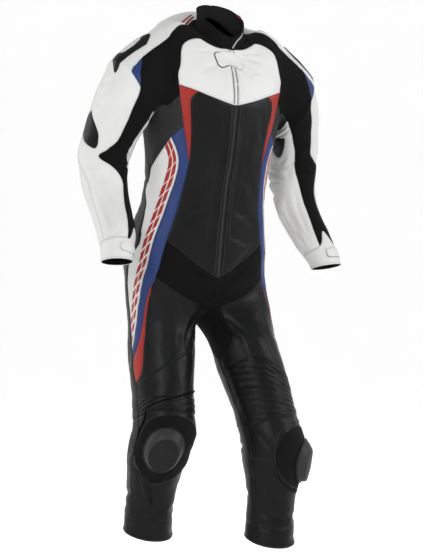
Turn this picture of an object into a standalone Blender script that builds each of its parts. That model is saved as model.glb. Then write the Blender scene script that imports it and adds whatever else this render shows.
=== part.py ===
"""One-piece motorcycle race suit: hollow garment of cut-and-sewn leather and stretch panels."""
import bpy
import numpy as np
from math import pi
from mathutils import Vector
from mathutils.geometry import delaunay_2d_cdt

WALL = 0.0020          # leather and lining together
SEAM_GAP = 0.0003      # between neighbouring panels
GRID = 0.034           # spacing of the surface points
STEP = 0.026           # spacing along the seams
RIBS = 9               # accordion ribs above the knees
RIB_RISE = 0.0016
RIB_ENDS = 82          # leg angle where the ribs run out at either side
WORN_ROW = 3.35        # the right knee's ribs are pulled flat above this row
WELD = 4e-5            # points closer than this are one

# Trunk sections from the crotch to the neck. Front runs from a=0, back to a=180 degrees.
TRUNK = np.array([
    # z front, z side, z back, y middle, half width, front, back, squareness
    (-0.712, -0.700, -0.712, 0.106, 0.150, 0.060, 0.075, 2.0),   # crotch
    (-0.665, -0.660, -0.665, 0.110, 0.188, 0.116, 0.131, 2.1),   # seat
    (-0.600, -0.600, -0.600, 0.112, 0.202, 0.132, 0.147, 2.2),   # hips
    (-0.520, -0.520, -0.520, 0.102, 0.198, 0.128, 0.139, 2.2),   # high hip
    (-0.440, -0.440, -0.440, 0.080, 0.180, 0.118, 0.122, 2.2),   # low waist
    (-0.380, -0.380, -0.380, 0.066, 0.172, 0.114, 0.114, 2.2),   # waist
    (-0.310, -0.310, -0.310, 0.052, 0.174, 0.120, 0.118, 2.2),   # ribs
    (-0.235, -0.235, -0.235, 0.044, 0.186, 0.126, 0.125, 2.2),   # underarm
    (-0.165, -0.160, -0.160, 0.036, 0.200, 0.126, 0.132, 2.3),   # chest
    (-0.110, -0.060, -0.070, 0.026, 0.212, 0.112, 0.132, 2.4),   # upper chest
    (-0.072,  0.024,  0.048, 0.018, 0.190, 0.092, 0.126, 2.4),   # shoulder
    (-0.045,  0.052,  0.100, 0.012, 0.130, 0.076, 0.106, 2.2),   # yoke
    (-0.020,  0.024,  0.080, 0.000, 0.066, 0.062, 0.062, 2.0),   # neck
])
# Sleeve sections from the shoulder to the cuff (left side; x is mirrored for the right)
SLEEVE = np.array([
    # x, y, z, tilt out, pitch forward, radius front, radius side
    (0.2390, 0.036, -0.128, 67,   0, 0.092, 0.102),
    (0.2550, 0.044, -0.160, 58,  -4, 0.088, 0.092),
    (0.2685, 0.054, -0.193, 48,  -8, 0.083, 0.084),
    (0.2770, 0.064, -0.226, 39, -10, 0.078, 0.076),
    (0.2850, 0.076, -0.269, 23,  -8, 0.073, 0.070),
    (0.2900, 0.088, -0.315, 10,   2, 0.069, 0.067),
    (0.2910, 0.080, -0.370,  4,  14, 0.063, 0.060),
    (0.2900, 0.052, -0.430,  4,  22, 0.056, 0.055),
    (0.2980, -0.003, -0.500, 8,  26, 0.050, 0.049),
    (0.3090, -0.034, -0.545, 10, 26, 0.044, 0.043),
    (0.3160, -0.050, -0.570, 10, 24, 0.043, 0.041),
])
# Leg sections from the thigh to the hem. The left leg stands forward, the right leg back.
LEG = np.array([
    # left z, right z, pitch, radius front, radius side, left x, left y, right x, right y
    (-0.775, -0.775,  10, 0.098, 0.090, 0.111, 0.043, 0.101, 0.104),
    (-0.850, -0.850,  12, 0.094, 0.085, 0.119, 0.008, 0.107, 0.088),
    (-0.920, -0.918,  12, 0.087, 0.081, 0.127, -0.026, 0.115, 0.062),
    (-0.985, -0.975,   8, 0.086, 0.081, 0.135, -0.053, 0.125, 0.040),
    (-1.045, -1.028,   2, 0.088, 0.083, 0.140, -0.074, 0.135, 0.024),
    (-1.100, -1.080,  -4, 0.084, 0.079, 0.140, -0.080, 0.139, 0.038),
    (-1.152, -1.138,  -8, 0.070, 0.069, 0.137, -0.082, 0.139, 0.063),
    (-1.200, -1.190, -10, 0.063, 0.063, 0.135, -0.084, 0.138, 0.078),
    (-1.252, -1.244, -13, 0.065, 0.063, 0.132, -0.087, 0.138, 0.086),
    (-1.296, -1.288, -16, 0.066, 0.065, 0.129, -0.090, 0.138, 0.088),
])
ARMHOLE_ANGLE, ARMHOLE_ROW = 90.0, 8.75          # centre of the armhole on the trunk
ARMHOLE_HALF, ARMHOLE_UP, ARMHOLE_DOWN = 40.0, 1.55, 1.40
LEG_LINE = np.array([0.25, 0.9, 1.9, 2.5, 1.9, 0.9, 0.25])[:, None]   # trunk row every 30 degrees
CROTCH_DROP = 0.020
COLLAR_HEIGHT = 0.042
TWIST = {("S", 1): 0.0, ("S", -1): -55.0, ("L", 1): 13.0, ("L", -1): -13.0}
TWIST_ROWS = {"S": (5.0, 7.5), "L": (3.0, 5.0)}


def spline(rows, t):
    """Catmull-Rom value of a section table at row t."""
    t = np.asarray(t, float)
    n = len(rows)
    i = np.clip(np.floor(t).astype(int), 0, n - 2)
    f = (t - i)[..., None]
    p1, p2 = rows[i], rows[i + 1]
    p0 = np.where((i > 0)[..., None], rows[np.maximum(i - 1, 0)], 2 * p1 - p2)
    p3 = np.where((i < n - 2)[..., None], rows[np.minimum(i + 2, n - 1)], 2 * p2 - p1)
    return p1 + 0.5 * f * (p2 - p0 + f * (2 * p0 - 5 * p1 + 4 * p2 - p3 + f * (3 * (p1 - p2) + p3 - p0)))


def spline_rings(pts, t):
    """The same curve down a tube, where every point has its own column of ring points."""
    n = pts.shape[-2]
    i = np.clip(np.floor(t).astype(int), 0, n - 2)
    f = (t - i)[..., None]
    pick = lambda j: np.take_along_axis(pts, np.clip(j, 0, n - 1)[..., None, None], axis=-2)[..., 0, :]
    p1, p2 = pick(i), pick(i + 1)
    p0 = np.where((i > 0)[..., None], pick(i - 1), 2 * p1 - p2)
    p3 = np.where((i < n - 2)[..., None], pick(i + 2), 2 * p2 - p1)
    return p1 + 0.5 * f * (p2 - p0 + f * (2 * p0 - 5 * p1 + 4 * p2 - p3 + f * (3 * (p1 - p2) + p3 - p0)))


def trunk(side, a, v):
    a, v = np.broadcast_arrays(np.radians(np.asarray(a, float)), np.asarray(v, float))
    zf, zs, zb, y, w, f, b, n = np.moveaxis(spline(TRUNK, v), -1, 0)
    c, s = np.cos(a), np.sin(a)
    x = w * np.sign(s) * np.abs(s) ** (2 / n)
    y = y - np.where(c > 0, f, b) * np.sign(c) * np.abs(c) ** (2 / n)
    z = zs + (np.where(c > 0, zf, zb) - zs) * c * c
    return np.stack([side * x, y, z], -1)


def armhole_at(phi, grow=1.0):
    """Trunk angle and row of the armhole: phi 0 front, 90 top, 180 back, 270 armpit."""
    c, s = np.cos(np.radians(phi)), np.sin(np.radians(phi))
    return (ARMHOLE_ANGLE - ARMHOLE_HALF * grow * c,
            ARMHOLE_ROW + np.where(s > 0, ARMHOLE_UP, ARMHOLE_DOWN) * grow * s)


def leg_row(a):
    return spline(LEG_LINE, np.asarray(a, float) / 30)[..., 0]


def tube(side, x, y, z, tilt, pitch, rf, rs, phi):
    """Ellipse rings of a tube; each has its centre, tilt, pitch and two radii."""
    t, p = np.radians(tilt), np.radians(pitch)
    out = np.stack([side * np.cos(t), 0 * t, np.sin(t)], -1)
    down = np.stack([side * np.sin(t), 0 * t, -np.cos(t)], -1)
    front = np.array([0, -1.0, 0]) * np.cos(p)[:, None] - down * np.sin(p)[:, None]
    centre = np.stack([side * x, y, z], -1)
    ph = np.radians(phi)[..., None, None]
    return centre + np.cos(ph) * front * rf[:, None] + np.sin(ph) * out * rs[:, None]


def twisted(kind, side, phi, v):
    lo, hi = TWIST_ROWS[kind]
    t = np.clip((v - lo) / (hi - lo), 0, 1)
    return phi + TWIST[kind, side] * t * t * (3 - 2 * t)


def sleeve(side, phi, v):
    phi, v = np.broadcast_arrays(np.asarray(phi, float), np.asarray(v, float))
    x, y, z, tilt, pitch, rf, rs = SLEEVE.T
    turned = twisted("S", side, phi, v)
    rings = tube(side, x, y, z, tilt, pitch, rf, rs, turned)
    first = trunk(side, *armhole_at(phi))[..., None, :]
    before = trunk(side, *armhole_at(phi, 1.3))[..., None, :]
    return spline_rings(np.concatenate([before, first, rings], axis=-2), v + 1)


def leg_top(side, phi, rise):
    """Top of the leg: the leg line round the trunk, then the crotch line from back to front."""
    deg = np.where(phi > 315, phi - 360, np.where(phi < -45, phi + 360, phi))
    a = np.clip((deg + 45) / 1.5, 0, 180)
    p = trunk(side, a, leg_row(a) + rise)
    t = np.clip((deg - 225) / 90, 0, 1)[..., None]
    row = leg_row(0.0)
    q = trunk(side, 180.0, row) * (1 - t) + trunk(side, 0.0, row) * t
    q = q - np.array([0, 0, 1.0]) * (CROTCH_DROP * 4 * t * (1 - t))
    if rise:
        q = q + np.array([-side * 0.06, 0, 0]) * np.sin(t * pi) + np.array([0, 0, 0.02])
    return np.where((deg <= 225)[..., None], p, q)


def leg(side, phi, v):
    phi, v = np.broadcast_arrays(np.asarray(phi, float), np.asarray(v, float))
    zl, zr, pitch, rf, rs, xl, yl, xr, yr = LEG.T
    x, y, z = (xl, yl, zl) if side > 0 else (xr, yr, zr)
    rings = tube(side, x, y, z, 0 * z, pitch, rf, rs, twisted("L", side, phi, v))
    first = leg_top(side, phi, 0.0)[..., None, :]
    before = leg_top(side, phi, 0.8)[..., None, :]
    return spline_rings(np.concatenate([before, first, rings], axis=-2), v + 1)


def collar(side, a, v):
    a, v = np.broadcast_arrays(np.asarray(a, float), np.asarray(v, float))
    c, s = np.cos(np.radians(a)), np.sin(np.radians(a))
    up = np.stack([-side * 0.10 * s, 0.10 * c - 0.05, 1 + 0 * a], -1)
    return trunk(side, a, 12.0) + up * ((COLLAR_HEIGHT - 0.008 * c * c) * v)[..., None]


SURFACE = {"T": trunk, "S": sleeve, "L": leg, "C": collar}
ROUND = {"T": 0.17 * pi / 180, "S": 0.068 * pi / 180, "L": 0.085 * pi / 180, "C": 0.066 * pi / 180}


def arm(phi):
    a, v = armhole_at(float(phi))
    return (float(a), float(v))


def line(a):
    return (float(a), float(leg_row(a)))


ARM_STOPS = (50, 180, -125, -38)                       # seams that cross the armhole
LINE_STOPS = (10, 54, 63, 88, 165)                     # seams that cross the leg line
NECK_STOPS = (4.8, 40, 66)                             # seams that meet the collar
# Seams on the left half of the trunk: angle round from the centre front, section row
TRUNK_SEAMS = {
    "zip": [(4.8, 12), (1.8, 11), (0.8, 10), (0.8, 9), (0.9, 7.99), (1.3, 6), (1.3, 5), (1.2, 3), (1.2, 1.82)],
    "zip end": [(1.2, 1.82), (0, 1.78)],
    "yoke edge": [(40, 12), (43, 10.9), (42, 10), (42.5, 9.4), (44.5, 8.95), (45, 8.56)],
    "yoke hem": [(0.9, 7.99), (27, 8.42), (45, 8.56)],
    "flash inner": [(27, 8.42), (34, 8.14), (35.5, 7.85), (36, 7.0), (37.5, 5.9)],
    "flash outer": [(45, 8.56), (45, 8.2), (43, 7.1), (41, 6.6), (39, 6.15), (37.5, 5.9)],
    "blue front": [(37.5, 5.9), (39, 4.8), (42, 3.75), (44.5, 3.0), (49, 2.2), line(54)],
    "blue back": [(57, 6.75), (51, 6.3), (49, 5.85), (50, 4.6), (53, 3.45), (58, 2.7), line(63)],
    "stretch hem": [(43, 7.1), (57, 6.75), (88, 5.72)],
    "stretch back": [(88, 5.72), (100, 6.3), arm(-125)],
    "stretch front": [(45, 8.2), arm(-38)],
    "side back": [(88, 5.72), (89, 5.3), (94, 4.9), (86, 4.1), (78, 3.3), (76, 2.9), line(88)],
    "groin": [(1.2, 1.82), (11, 2.1), (30, 2.65), (44.5, 3.0)],
    "band top": [(66, 12), (62, 11.2), (62, 10.5), arm(50)],
    "back yoke": [arm(180), (155, 8.3), (180, 8.1)],
    "seat": [(86, 4.1), (120, 3.9), (150, 3.7), (180, 3.6)],
    "throat flap": [(0, 11.8), (10, 11.75), (20, 11.35), (17, 10.95), (8, 10.6), (0, 10.6)],
}
SLEEVE_SEAMS = {
    "band outer": [(50, 0), (44, 0.7), (30, 0.95), (8, 1.5), (0, 2.7), (-2, 3.6), (6, 4.9), (30, 5.6),
                   (62, 6.1), (44, 6.6), (32, 7.3), (38, 8.0), (44, 8.85), (46, 9.8)],
    "band inner": [(-38, 0), (-48, 0.7), (-52, 1.3), (-49, 2.2), (-46, 3.2), (-38, 4.5), (-29, 5.7),
                   (-18, 7.1), (-13, 8.2), (-20, 9.0), (-26, 9.8)],
    "gusset": [(-52, 1.3), (-80, 1.5), (-110, 1.0), (-125, 0)],
    "cuff": [(-180, 9.8), (-100, 9.8), (-26, 9.8), (46, 9.8), (110, 9.8), (180, 9.8)],
    "diamond": [(30, 0.95), (38, 1.4), (8, 1.5)],
    "cup": [(60, 0.5), (80, 0.28), (100, 0.55), (94, 1.15), (66, 2.1), (64, 1.25), (60, 0.5)],
    "elbow": [(92, 4.2), (112, 4.5), (104, 5.2), (62, 5.7), (50, 5.0), (92, 4.2)],
    "tab": [(-6, 10.1), (60, 10.1), (66, 10.4), (60, 10.7), (-6, 10.7), (-6, 10.1)],
}
LEG_SEAMS = {
    "blue front": [(36, 0), (42, 0.2), (48, 0.42), (64, 0.85), (76, 1.3), (88, 1.7)],
    "blue back": [(49.5, 0), (60, 0.45), (72, 0.85), (82, 1.3), (88, 1.7)],
    "white back": [(87, 0), (98, 0.25), (97, 0.5), (93, 0.9), (90, 1.3), (88, 1.7)],
    "red front": [(42, 0.2), (52, 0.75), (60, 1.2), (69, 1.75), (79, 2.25), (87, 2.65)],
    "red back": [(88, 1.7), (91, 2.2), (87, 2.65)],
    "inner front": [(-30, 0), (-42, 0.7), (-60, 1.35), (-90, 1.75)],
    "inner back": [(202.5, 0), (215, 0.7), (240, 1.35), (270, 1.75)],
    "knee top": [(-90, 2.15), (-58, 1.95), (-22, 1.8), (0, 1.95), (30, 2.25), (64, 2.52), (87, 2.65)],
    "knee middle": [(-90, 4.3), (-60, 4.2), (-28, 4.05), (0, 4.0), (40, 3.85), (88, 4.1)],
    "knee bottom": [(-90, 5.8), (-50, 5.65), (-18, 6.0), (8, 6.8), (42, 7.3), (74, 7.05), (94, 6.0)],
    "outer": [(87, 2.65), (86, 3.4), (88, 4.1), (93, 5.0), (94, 6.0), (93, 7.0), (88, 8.0), (82, 9.0)],
    "knee back": [(88, 4.1), (130, 4.3), (190, 4.4), (270, 4.3)],
    "hem": [(-90, 9.05), (-40, 9.0), (20, 8.9), (82, 9.0), (150, 9.1), (210, 9.1), (270, 9.05)],
}
SLIDER_CENTRE, SLIDER_HALF, BASE_HALF = (39, 5.6), (34, 0.92), (46, 1.26)
# Panels: base name, sides kept apart or joined, then domain and a point inside each region
PANELS = {
    "front_yoke": (2, [("T", 22, 9.5), ("T", 12, 11.0)]),
    "front_body": (2, [("T", 20, 5.0)]),
    "chest_flash": (2, [("T", 40, 7.8)]),
    "side_stretch": (2, [("T", 62, 7.1), ("S", -85, 0.7)]),
    "blue_side": (2, [("T", 44, 5.0), ("L", 57, 0.5)]),
    "white_side": (2, [("T", 65, 4.8), ("L", 80, 0.5)]),
    "stretch_band": (2, [("T", 50, 10.8), ("S", -20, 3.0)]),
    "zip_strip": (1, [("T", 0.4, 9.0), ("T", 0.5, 11.1), ("T", 1.0, 11.9)]),
    "throat_flap": (1, [("T", 12, 11.0), ("T", 0.5, 11.1)]),
    "groin": (1, [("T", 15, 1.4)]),
    "back_yoke": (1, [("T", 150, 10.5)]),
    "back": (1, [("T", 150, 6.0)]),
    "seat": (1, [("T", 150, 2.2)]),
    "collar": (1, [("C", 90, 0.5)]),
    "sleeve_outer": (2, [("S", 110, 7.0), ("S", 78, 0.9)]),
    "sleeve_inner": (2, [("S", -110, 5.0)]),
    "diamond": (2, [("S", 26, 1.3)]),
    "elbow_patch": (2, [("S", 80, 5.0)]),
    "shoulder_cup": (2, [("S", 78, 0.9)]),
    "cuff": (2, [("S", 120, 10.4), ("S", 20, 10.4)]),
    "cuff_tab": (2, [("S", 20, 10.4)]),
    "thigh_front": (2, [("L", 0, 1.0)]),
    "thigh_back": (2, [("L", 150, 2.0)]),
    "inner_thigh": (2, [("L", -75, 0.5), ("L", 255, 0.5)]),
    "red_stripe": (2, [("L", 67, 1.25)]),
    "knee_stretch": (2, [("L", 0, 3.0)]),
    "knee_panel": (2, [("L", -60, 5.0), ("L", 39, 6.65), ("L", 39, 5.6)]),
    "slider_base": (2, [("L", 39, 6.65), ("L", 39, 5.6)]),
    "knee_slider": (2, [("L", 39, 5.6)]),
    "shin": (2, [("L", 0, 8.0)]),
    "calf": (2, [("L", 180, 7.0)]),
    "hem_band": (2, [("L", 20, 9.5)]),
}
# Pieces that lie on another: clearance from the seam surface, thickness
LIES_ON = {
    "throat_flap": (0.0003, 0.0015), "shoulder_cup": (0.0003, 0.0030), "cuff_tab": (0.0003, 0.0018),
    "slider_base": (0.0003, 0.0015), "knee_slider": (0.0021, 0.0040),
}
SLIDER_DOME = 0.016


def run_length(kind):
    """Distance down the piece at each section row."""
    rows = {"T": 12, "S": len(SLEEVE), "L": len(LEG), "C": 1}[kind]
    v = np.arange(rows + 1.0)
    ring = np.stack([SURFACE[kind](1, a, v) for a in np.linspace(0, 180, 7)])
    step = np.linalg.norm(np.diff(ring, axis=1), axis=-1).mean(axis=0)
    return v, np.concatenate([[0], np.cumsum(step)])


def seam_points(kind, points, step):
    """A smooth seam through its points, each kept as a vertex."""
    v, run = run_length(kind)
    p = np.array(points, float)
    out = [p[0]]
    for i in range(len(p) - 1):
        size = np.hypot((p[i + 1, 0] - p[i, 0]) * ROUND[kind],
                        np.interp(p[i + 1, 1], v, run) - np.interp(p[i, 1], v, run))
        n = max(1, int(round(size / step)))
        for k in range(1, n + 1):
            out.append(p[i + 1] if k == n else spline(p, i + k / n))
    return np.array(out)


def ring_stops(lo, hi, step, stops):
    """Even stops from lo to hi that also hold the given ones."""
    even = np.linspace(lo, hi, max(2, int(round((hi - lo) / step)) + 1))
    inner = [e for e in even[1:-1] if all(abs(e - s) > 0.45 * step for s in stops)]
    return sorted(set([float(lo), float(hi)] + [float(s) for s in stops if lo < s < hi] + inner))


def oval(centre, half, n):
    t = np.arange(n + 1) % n * 2 * pi / n
    return [(centre[0] + half[0] * np.cos(k), centre[1] + half[1] * np.sin(k)) for k in t]


def domain_lines(kind, step):
    """Outline and seams of one domain as polylines."""
    turn = step / ROUND[kind]
    v, run = run_length(kind)
    down = lambda a, lo, hi: seam_points(kind, [(a, lo), (a, hi)], step)
    if kind == "T":
        arms = ring_stops(-180, 180, step / 0.115 * 180 / pi, ARM_STOPS)[:-1]
        loop = [arm(p) for p in arms]
        legs = [line(a) for a in ring_stops(0, 180, turn, LINE_STOPS)]
        necks = [(a, 12.0) for a in ring_stops(0, 180, turn * 2.2, NECK_STOPS)]
        lines = [loop + loop[:1], legs, necks]
        front = [(0, float(leg_row(0))), (0, 1.78), (0, 4), (0, 6), (0, 8), (0, 10.6), (0, 11.8), (0, 12)]
        rear = [(180, float(leg_row(180))), (180, 3.6), (180, 5.8), (180, 8.1), (180, 10), (180, 12)]
        lines += [seam_points(kind, front, step), seam_points(kind, rear, step)]
        seams = TRUNK_SEAMS
    elif kind == "S":
        arms = ring_stops(-180, 180, step / 0.115 * 180 / pi, ARM_STOPS)
        lines = [[(p, 0.0) for p in arms], [(p, 11.0) for p in ring_stops(-180, 180, turn * 1.4, ())]]
        rows = [(0, 9.8), (9.8, 11)]
        lines += [down(a, lo, hi) for a in (-180, 180) for lo, hi in rows]
        seams = SLEEVE_SEAMS
    elif kind == "L":
        legs = [1.5 * a - 45 for a in ring_stops(0, 180, step / ROUND["T"], LINE_STOPS)]
        lines = [[(-90.0, 0.0), (-67.5, 0.0)] + [(p, 0.0) for p in legs] + [(247.5, 0.0), (270.0, 0.0)],
                 [(p, 10.0) for p in ring_stops(-90, 270, turn, ())]]
        for a in (-90, 270):
            for lo, hi in ((0, 1.75), (1.75, 2.15), (2.15, 4.3), (4.3, 5.8), (5.8, 9.05), (9.05, 10)):
                lines.append(down(a, lo, hi))
        seams = dict(LEG_SEAMS)
        seams["slider"] = oval(SLIDER_CENTRE, SLIDER_HALF, 14)
        seams["base"] = oval(SLIDER_CENTRE, BASE_HALF, 14)
    else:
        necks = ring_stops(0, 180, step / ROUND["T"] * 2.2, NECK_STOPS)
        lines = [[(a, 0.0) for a in necks], [(a, 1.0) for a in necks]]
        lines += [[(a, 0.0), (a, 0.5), (a, 1.0)] for a in (0.0, 180.0)]
        seams = {}
    return [np.array(l, float) for l in lines] + [seam_points(kind, s, step) for s in seams.values()]


def inside(kind, a, v):
    if kind == "T":
        da, dv = (a - ARMHOLE_ANGLE) / ARMHOLE_HALF, v - ARMHOLE_ROW
        hole = da ** 2 + (dv / np.where(dv > 0, ARMHOLE_UP, ARMHOLE_DOWN)) ** 2 < 1
        return (v > leg_row(a)) & ~hole
    return np.ones(len(a), bool)


def triangulate(kind, step, grid):
    """Triangles of a domain, each with the number of the region that its seams close off."""
    v, run = run_length(kind)
    flat = lambda p: np.column_stack([p[:, 0] * ROUND[kind], np.interp(p[:, 1], v, run)])
    coords, edges = [], []
    for poly in domain_lines(kind, step):
        start = len(coords)
        coords += list(poly)
        edges += [(start + i, start + i + 1) for i in range(len(poly) - 1)]
    seams = np.array(coords)
    lo, hi = flat(seams).min(axis=0), flat(seams).max(axis=0)
    xs = np.arange(lo[0] + grid / 2, hi[0], grid)
    rows = []
    for k, y in enumerate(np.arange(lo[1] + grid * 0.43, hi[1], grid * 0.87)):
        rows.append(np.column_stack([xs + (k % 2) * grid / 2, np.full(len(xs), y)]))
    pts = np.concatenate(rows) if rows else np.zeros((0, 2))
    av = np.column_stack([pts[:, 0] / ROUND[kind], np.interp(pts[:, 1], run, v)])
    keep = inside(kind, av[:, 0], av[:, 1])
    if kind == "L":                                     # the accordion has its own rows
        keep &= ~accordion(av[:, 0], av[:, 1])
        extra = accordion_rows(grid * 0.8)
        av, keep = np.concatenate([av, extra]), np.concatenate([keep, np.ones(len(extra), bool)])
    av = av[keep]
    a, b = flat(seams)[np.array(edges)[:, 0]], flat(seams)[np.array(edges)[:, 1]]
    p = flat(av)[:, None]
    t = np.clip(((p - a) * (b - a)).sum(-1) / np.maximum(((b - a) ** 2).sum(-1), 1e-12), 0, 1)
    far = np.linalg.norm(a + (b - a) * t[..., None] - p, axis=-1).min(axis=1)
    near = np.where(accordion(av[:, 0], av[:, 1]) if kind == "L" else False, 0.2, 0.5)
    av = av[far > grid * near]
    every = np.concatenate([seams, av])
    verts, out_edges, faces, own, own_edges, _ = delaunay_2d_cdt(
        [Vector(p) for p in flat(every)], edges, [], 0, 1e-6)
    uv = np.array([every[o[0]] if o else (p[0] / ROUND[kind], np.interp(p[1], run, v))
                   for o, p in zip(own, verts)])
    fixed = {tuple(sorted(e)) for e, o in zip(out_edges, own_edges) if o}
    faces = [tuple(f) for f in faces]
    parent = list(range(len(faces)))

    def root(i):
        while parent[i] != i:
            parent[i] = parent[parent[i]]
            i = parent[i]
        return i

    seen = {}
    for i, f in enumerate(faces):
        for j in range(3):
            e = tuple(sorted((f[j], f[(j + 1) % 3])))
            if e in fixed:
                continue
            if e in seen:
                parent[root(i)] = root(seen[e])
            else:
                seen[e] = i
    return uv, np.array(faces), np.array([root(i) for i in range(len(faces))]), flat


def accordion_span(phi):
    """Rows where the accordion starts and ends at this angle."""
    top = np.interp(phi, [p[0] for p in LEG_SEAMS["knee top"]], [p[1] for p in LEG_SEAMS["knee top"]])
    low = np.interp(phi, [p[0] for p in LEG_SEAMS["knee middle"]], [p[1] for p in LEG_SEAMS["knee middle"]])
    return top, low


def accordion(phi, v):
    top, low = accordion_span(phi)
    return (phi < 86) & (v > top) & (v < low)


def accordion_rows(grid):
    phi = np.arange(-78, 80, grid / ROUND["L"])
    top, low = accordion_span(phi)
    out = []
    for k in range(1, 2 * RIBS):
        out.append(np.column_stack([phi, top + (low - top) * k / (2 * RIBS)]))
    return np.concatenate(out)


def ribs(phi, v):
    top, low = accordion_span(phi)
    t = (v - top) / np.maximum(low - top, 1e-6) * RIBS
    fade = 14
    edge = np.clip((RIB_ENDS - phi) / fade, 0, 1) * np.clip((phi + RIB_ENDS) / fade, 0, 1)
    return RIB_RISE * (0.5 - 0.5 * np.cos(2 * pi * t)) * edge


def make_surface():
    """All domains on both sides in space, welded, with panel regions and smooth normals."""
    points, faces, owner, codes = [], [], [], []
    base = 0
    for kind in "TSLC":
        uv, tris, region, flat = triangulate(kind, STEP, GRID)
        p = flat(uv)
        tri = p[tris]
        names = {}
        for name, (_, seeds) in PANELS.items():
            for seed in [s for s in seeds if s[0] == kind]:
                q = flat(np.array([seed[1:]], float))[0]
                d = [np.cross(tri[:, (k + 1) % 3] - tri[:, k], q - tri[:, k]) for k in range(3)]
                hit = np.where(((d[0] >= 0) & (d[1] >= 0) & (d[2] >= 0)) |
                               ((d[0] <= 0) & (d[1] <= 0) & (d[2] <= 0)))[0]
                if len(hit) == 0:
                    raise ValueError("no region for " + name)
                names.setdefault(int(region[hit[0]]), []).append(name)
        keep = np.array([int(r) in names for r in region])
        for side in (1, -1):
            xyz = SURFACE[kind](side, uv[:, 0], uv[:, 1])
            points.append(xyz)
            codes.append(np.column_stack([np.full(len(uv), "TSLC".index(kind)), np.full(len(uv), side), uv]))
            for f, r in zip(tris[keep], region[keep]):
                faces.append(f + base)
                owner.append((side, names[int(r)]))
            base += len(uv)
    return np.concatenate(points), np.array(faces), owner, np.concatenate(codes)


# Broad folds pressed into the surface: domain, angle, row, spread in degrees, spread in rows, depth
FOLDS = [
    ("S", -12, 5.6, 50, 0.35, -0.0050),     # bend of the elbow
    ("S", -30, 4.9, 45, 0.30, -0.0030),
    ("S", 170, 5.3, 60, 0.70, 0.0040),      # elbow guard
    ("L", 180, 4.6, 70, 0.45, -0.0060),     # behind the knee
    ("L", 200, 3.7, 60, 0.35, -0.0040),
    ("L", 40, 5.5, 60, 0.9, 0.0030),        # knee guard
    ("T", 28, 2.2, 30, 0.35, -0.0030),      # groin
    ("T", 100, 4.3, 35, 0.35, -0.0040),     # waist
    ("T", 150, 3.9, 40, 0.30, -0.0030),
]


def fold(kind, a, v):
    out = np.zeros(len(a))
    for k, a0, v0, da, dv, depth in FOLDS:
        if k == kind:
            out += depth * np.exp(-((a - a0) / da) ** 2 - ((v - v0) / dv) ** 2)
    return out


def near_joins(code):
    """How strongly a point beside the armhole or the leg line is smoothed."""
    kind, _, a, v = code.T
    da, dv = (a - ARMHOLE_ANGLE) / ARMHOLE_HALF, v - ARMHOLE_ROW
    reach = np.sqrt(da ** 2 + (dv / np.where(dv > 0, ARMHOLE_UP, ARMHOLE_DOWN)) ** 2)
    t = np.where(kind == 0, np.maximum((reach < 1.3), (v - leg_row(np.clip(a, 0, 180)) < 0.7)), 0)
    t = np.where(kind == 1, v < 1.3, t)
    t = np.where(kind == 2, v < 0.9, t)
    return t.astype(float)


def weld(points, faces, codes):
    _, first, back = np.unique(np.round(points / WELD).astype(np.int64), axis=0,
                               return_index=True, return_inverse=True)
    back = back.reshape(-1)
    return points[first], back[faces], codes[first], back


def facing(points, faces):
    n = np.cross(points[faces[:, 1]] - points[faces[:, 0]], points[faces[:, 2]] - points[faces[:, 0]])
    return n / np.maximum(np.linalg.norm(n, axis=1, keepdims=True), 1e-15)


def vertex_normals(points, faces):
    fn = facing(points, faces)
    out = np.zeros_like(points)
    for k in range(3):
        p, q, r = points[faces[:, k]], points[faces[:, (k + 1) % 3]], points[faces[:, (k + 2) % 3]]
        u, w = q - p, r - p
        cosine = (u * w).sum(1) / np.maximum(np.linalg.norm(u, axis=1) * np.linalg.norm(w, axis=1), 1e-15)
        np.add.at(out, faces[:, k], fn * np.arccos(np.clip(cosine, -1, 1))[:, None])
    return out / np.maximum(np.linalg.norm(out, axis=1, keepdims=True), 1e-15)


def smooth(points, faces, weight, times):
    pairs = np.concatenate([faces[:, [0, 1]], faces[:, [1, 2]], faces[:, [2, 0]]])
    pairs = np.unique(np.sort(pairs, axis=1), axis=0)
    count = np.bincount(pairs.ravel(), minlength=len(points))[:, None]
    for _ in range(times):
        total = np.zeros_like(points)
        np.add.at(total, pairs[:, 0], points[pairs[:, 1]])
        np.add.at(total, pairs[:, 1], points[pairs[:, 0]])
        points = points + 0.5 * weight[:, None] * (total / np.maximum(count, 1) - points)
    return points


def build_surface():
    """The whole surface facing out, with its folds; the height of the ribs is returned beside it."""
    points, faces, owner, codes = make_surface()
    side = np.array([s for s, _ in owner])
    kind = codes[faces[:, 0], 0].astype(int)
    flip = np.where((kind == 0) | (kind == 3), side < 0, side > 0)
    faces = np.where(flip[:, None], faces[:, ::-1], faces)
    depth = np.zeros(len(points))
    for k in range(4):
        m = codes[:, 0] == k
        depth[m] = fold("TSLC"[k], codes[m][:, 2], codes[m][:, 3])
    rise = np.zeros(len(points))
    m = codes[:, 0] == 2
    phi, v = codes[m][:, 2], codes[m][:, 3]
    rib = np.where(accordion(phi, v), ribs(phi, v), 0)
    flat = (codes[m][:, 1] < 0) & (v < WORN_ROW)
    rise[m] = np.where(flat, 0, rib)
    soft = near_joins(codes)
    p, f, c, back = weld(points, faces, codes)
    d, r, w = np.zeros(len(p)), np.zeros(len(p)), np.zeros(len(p))
    np.maximum.at(w, back, soft)
    np.maximum.at(r, back, rise)
    d[back] = depth
    p = smooth(p, f, w, 3)
    p = p + vertex_normals(p, f) * d[:, None]
    return p, f, owner, c, r


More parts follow.
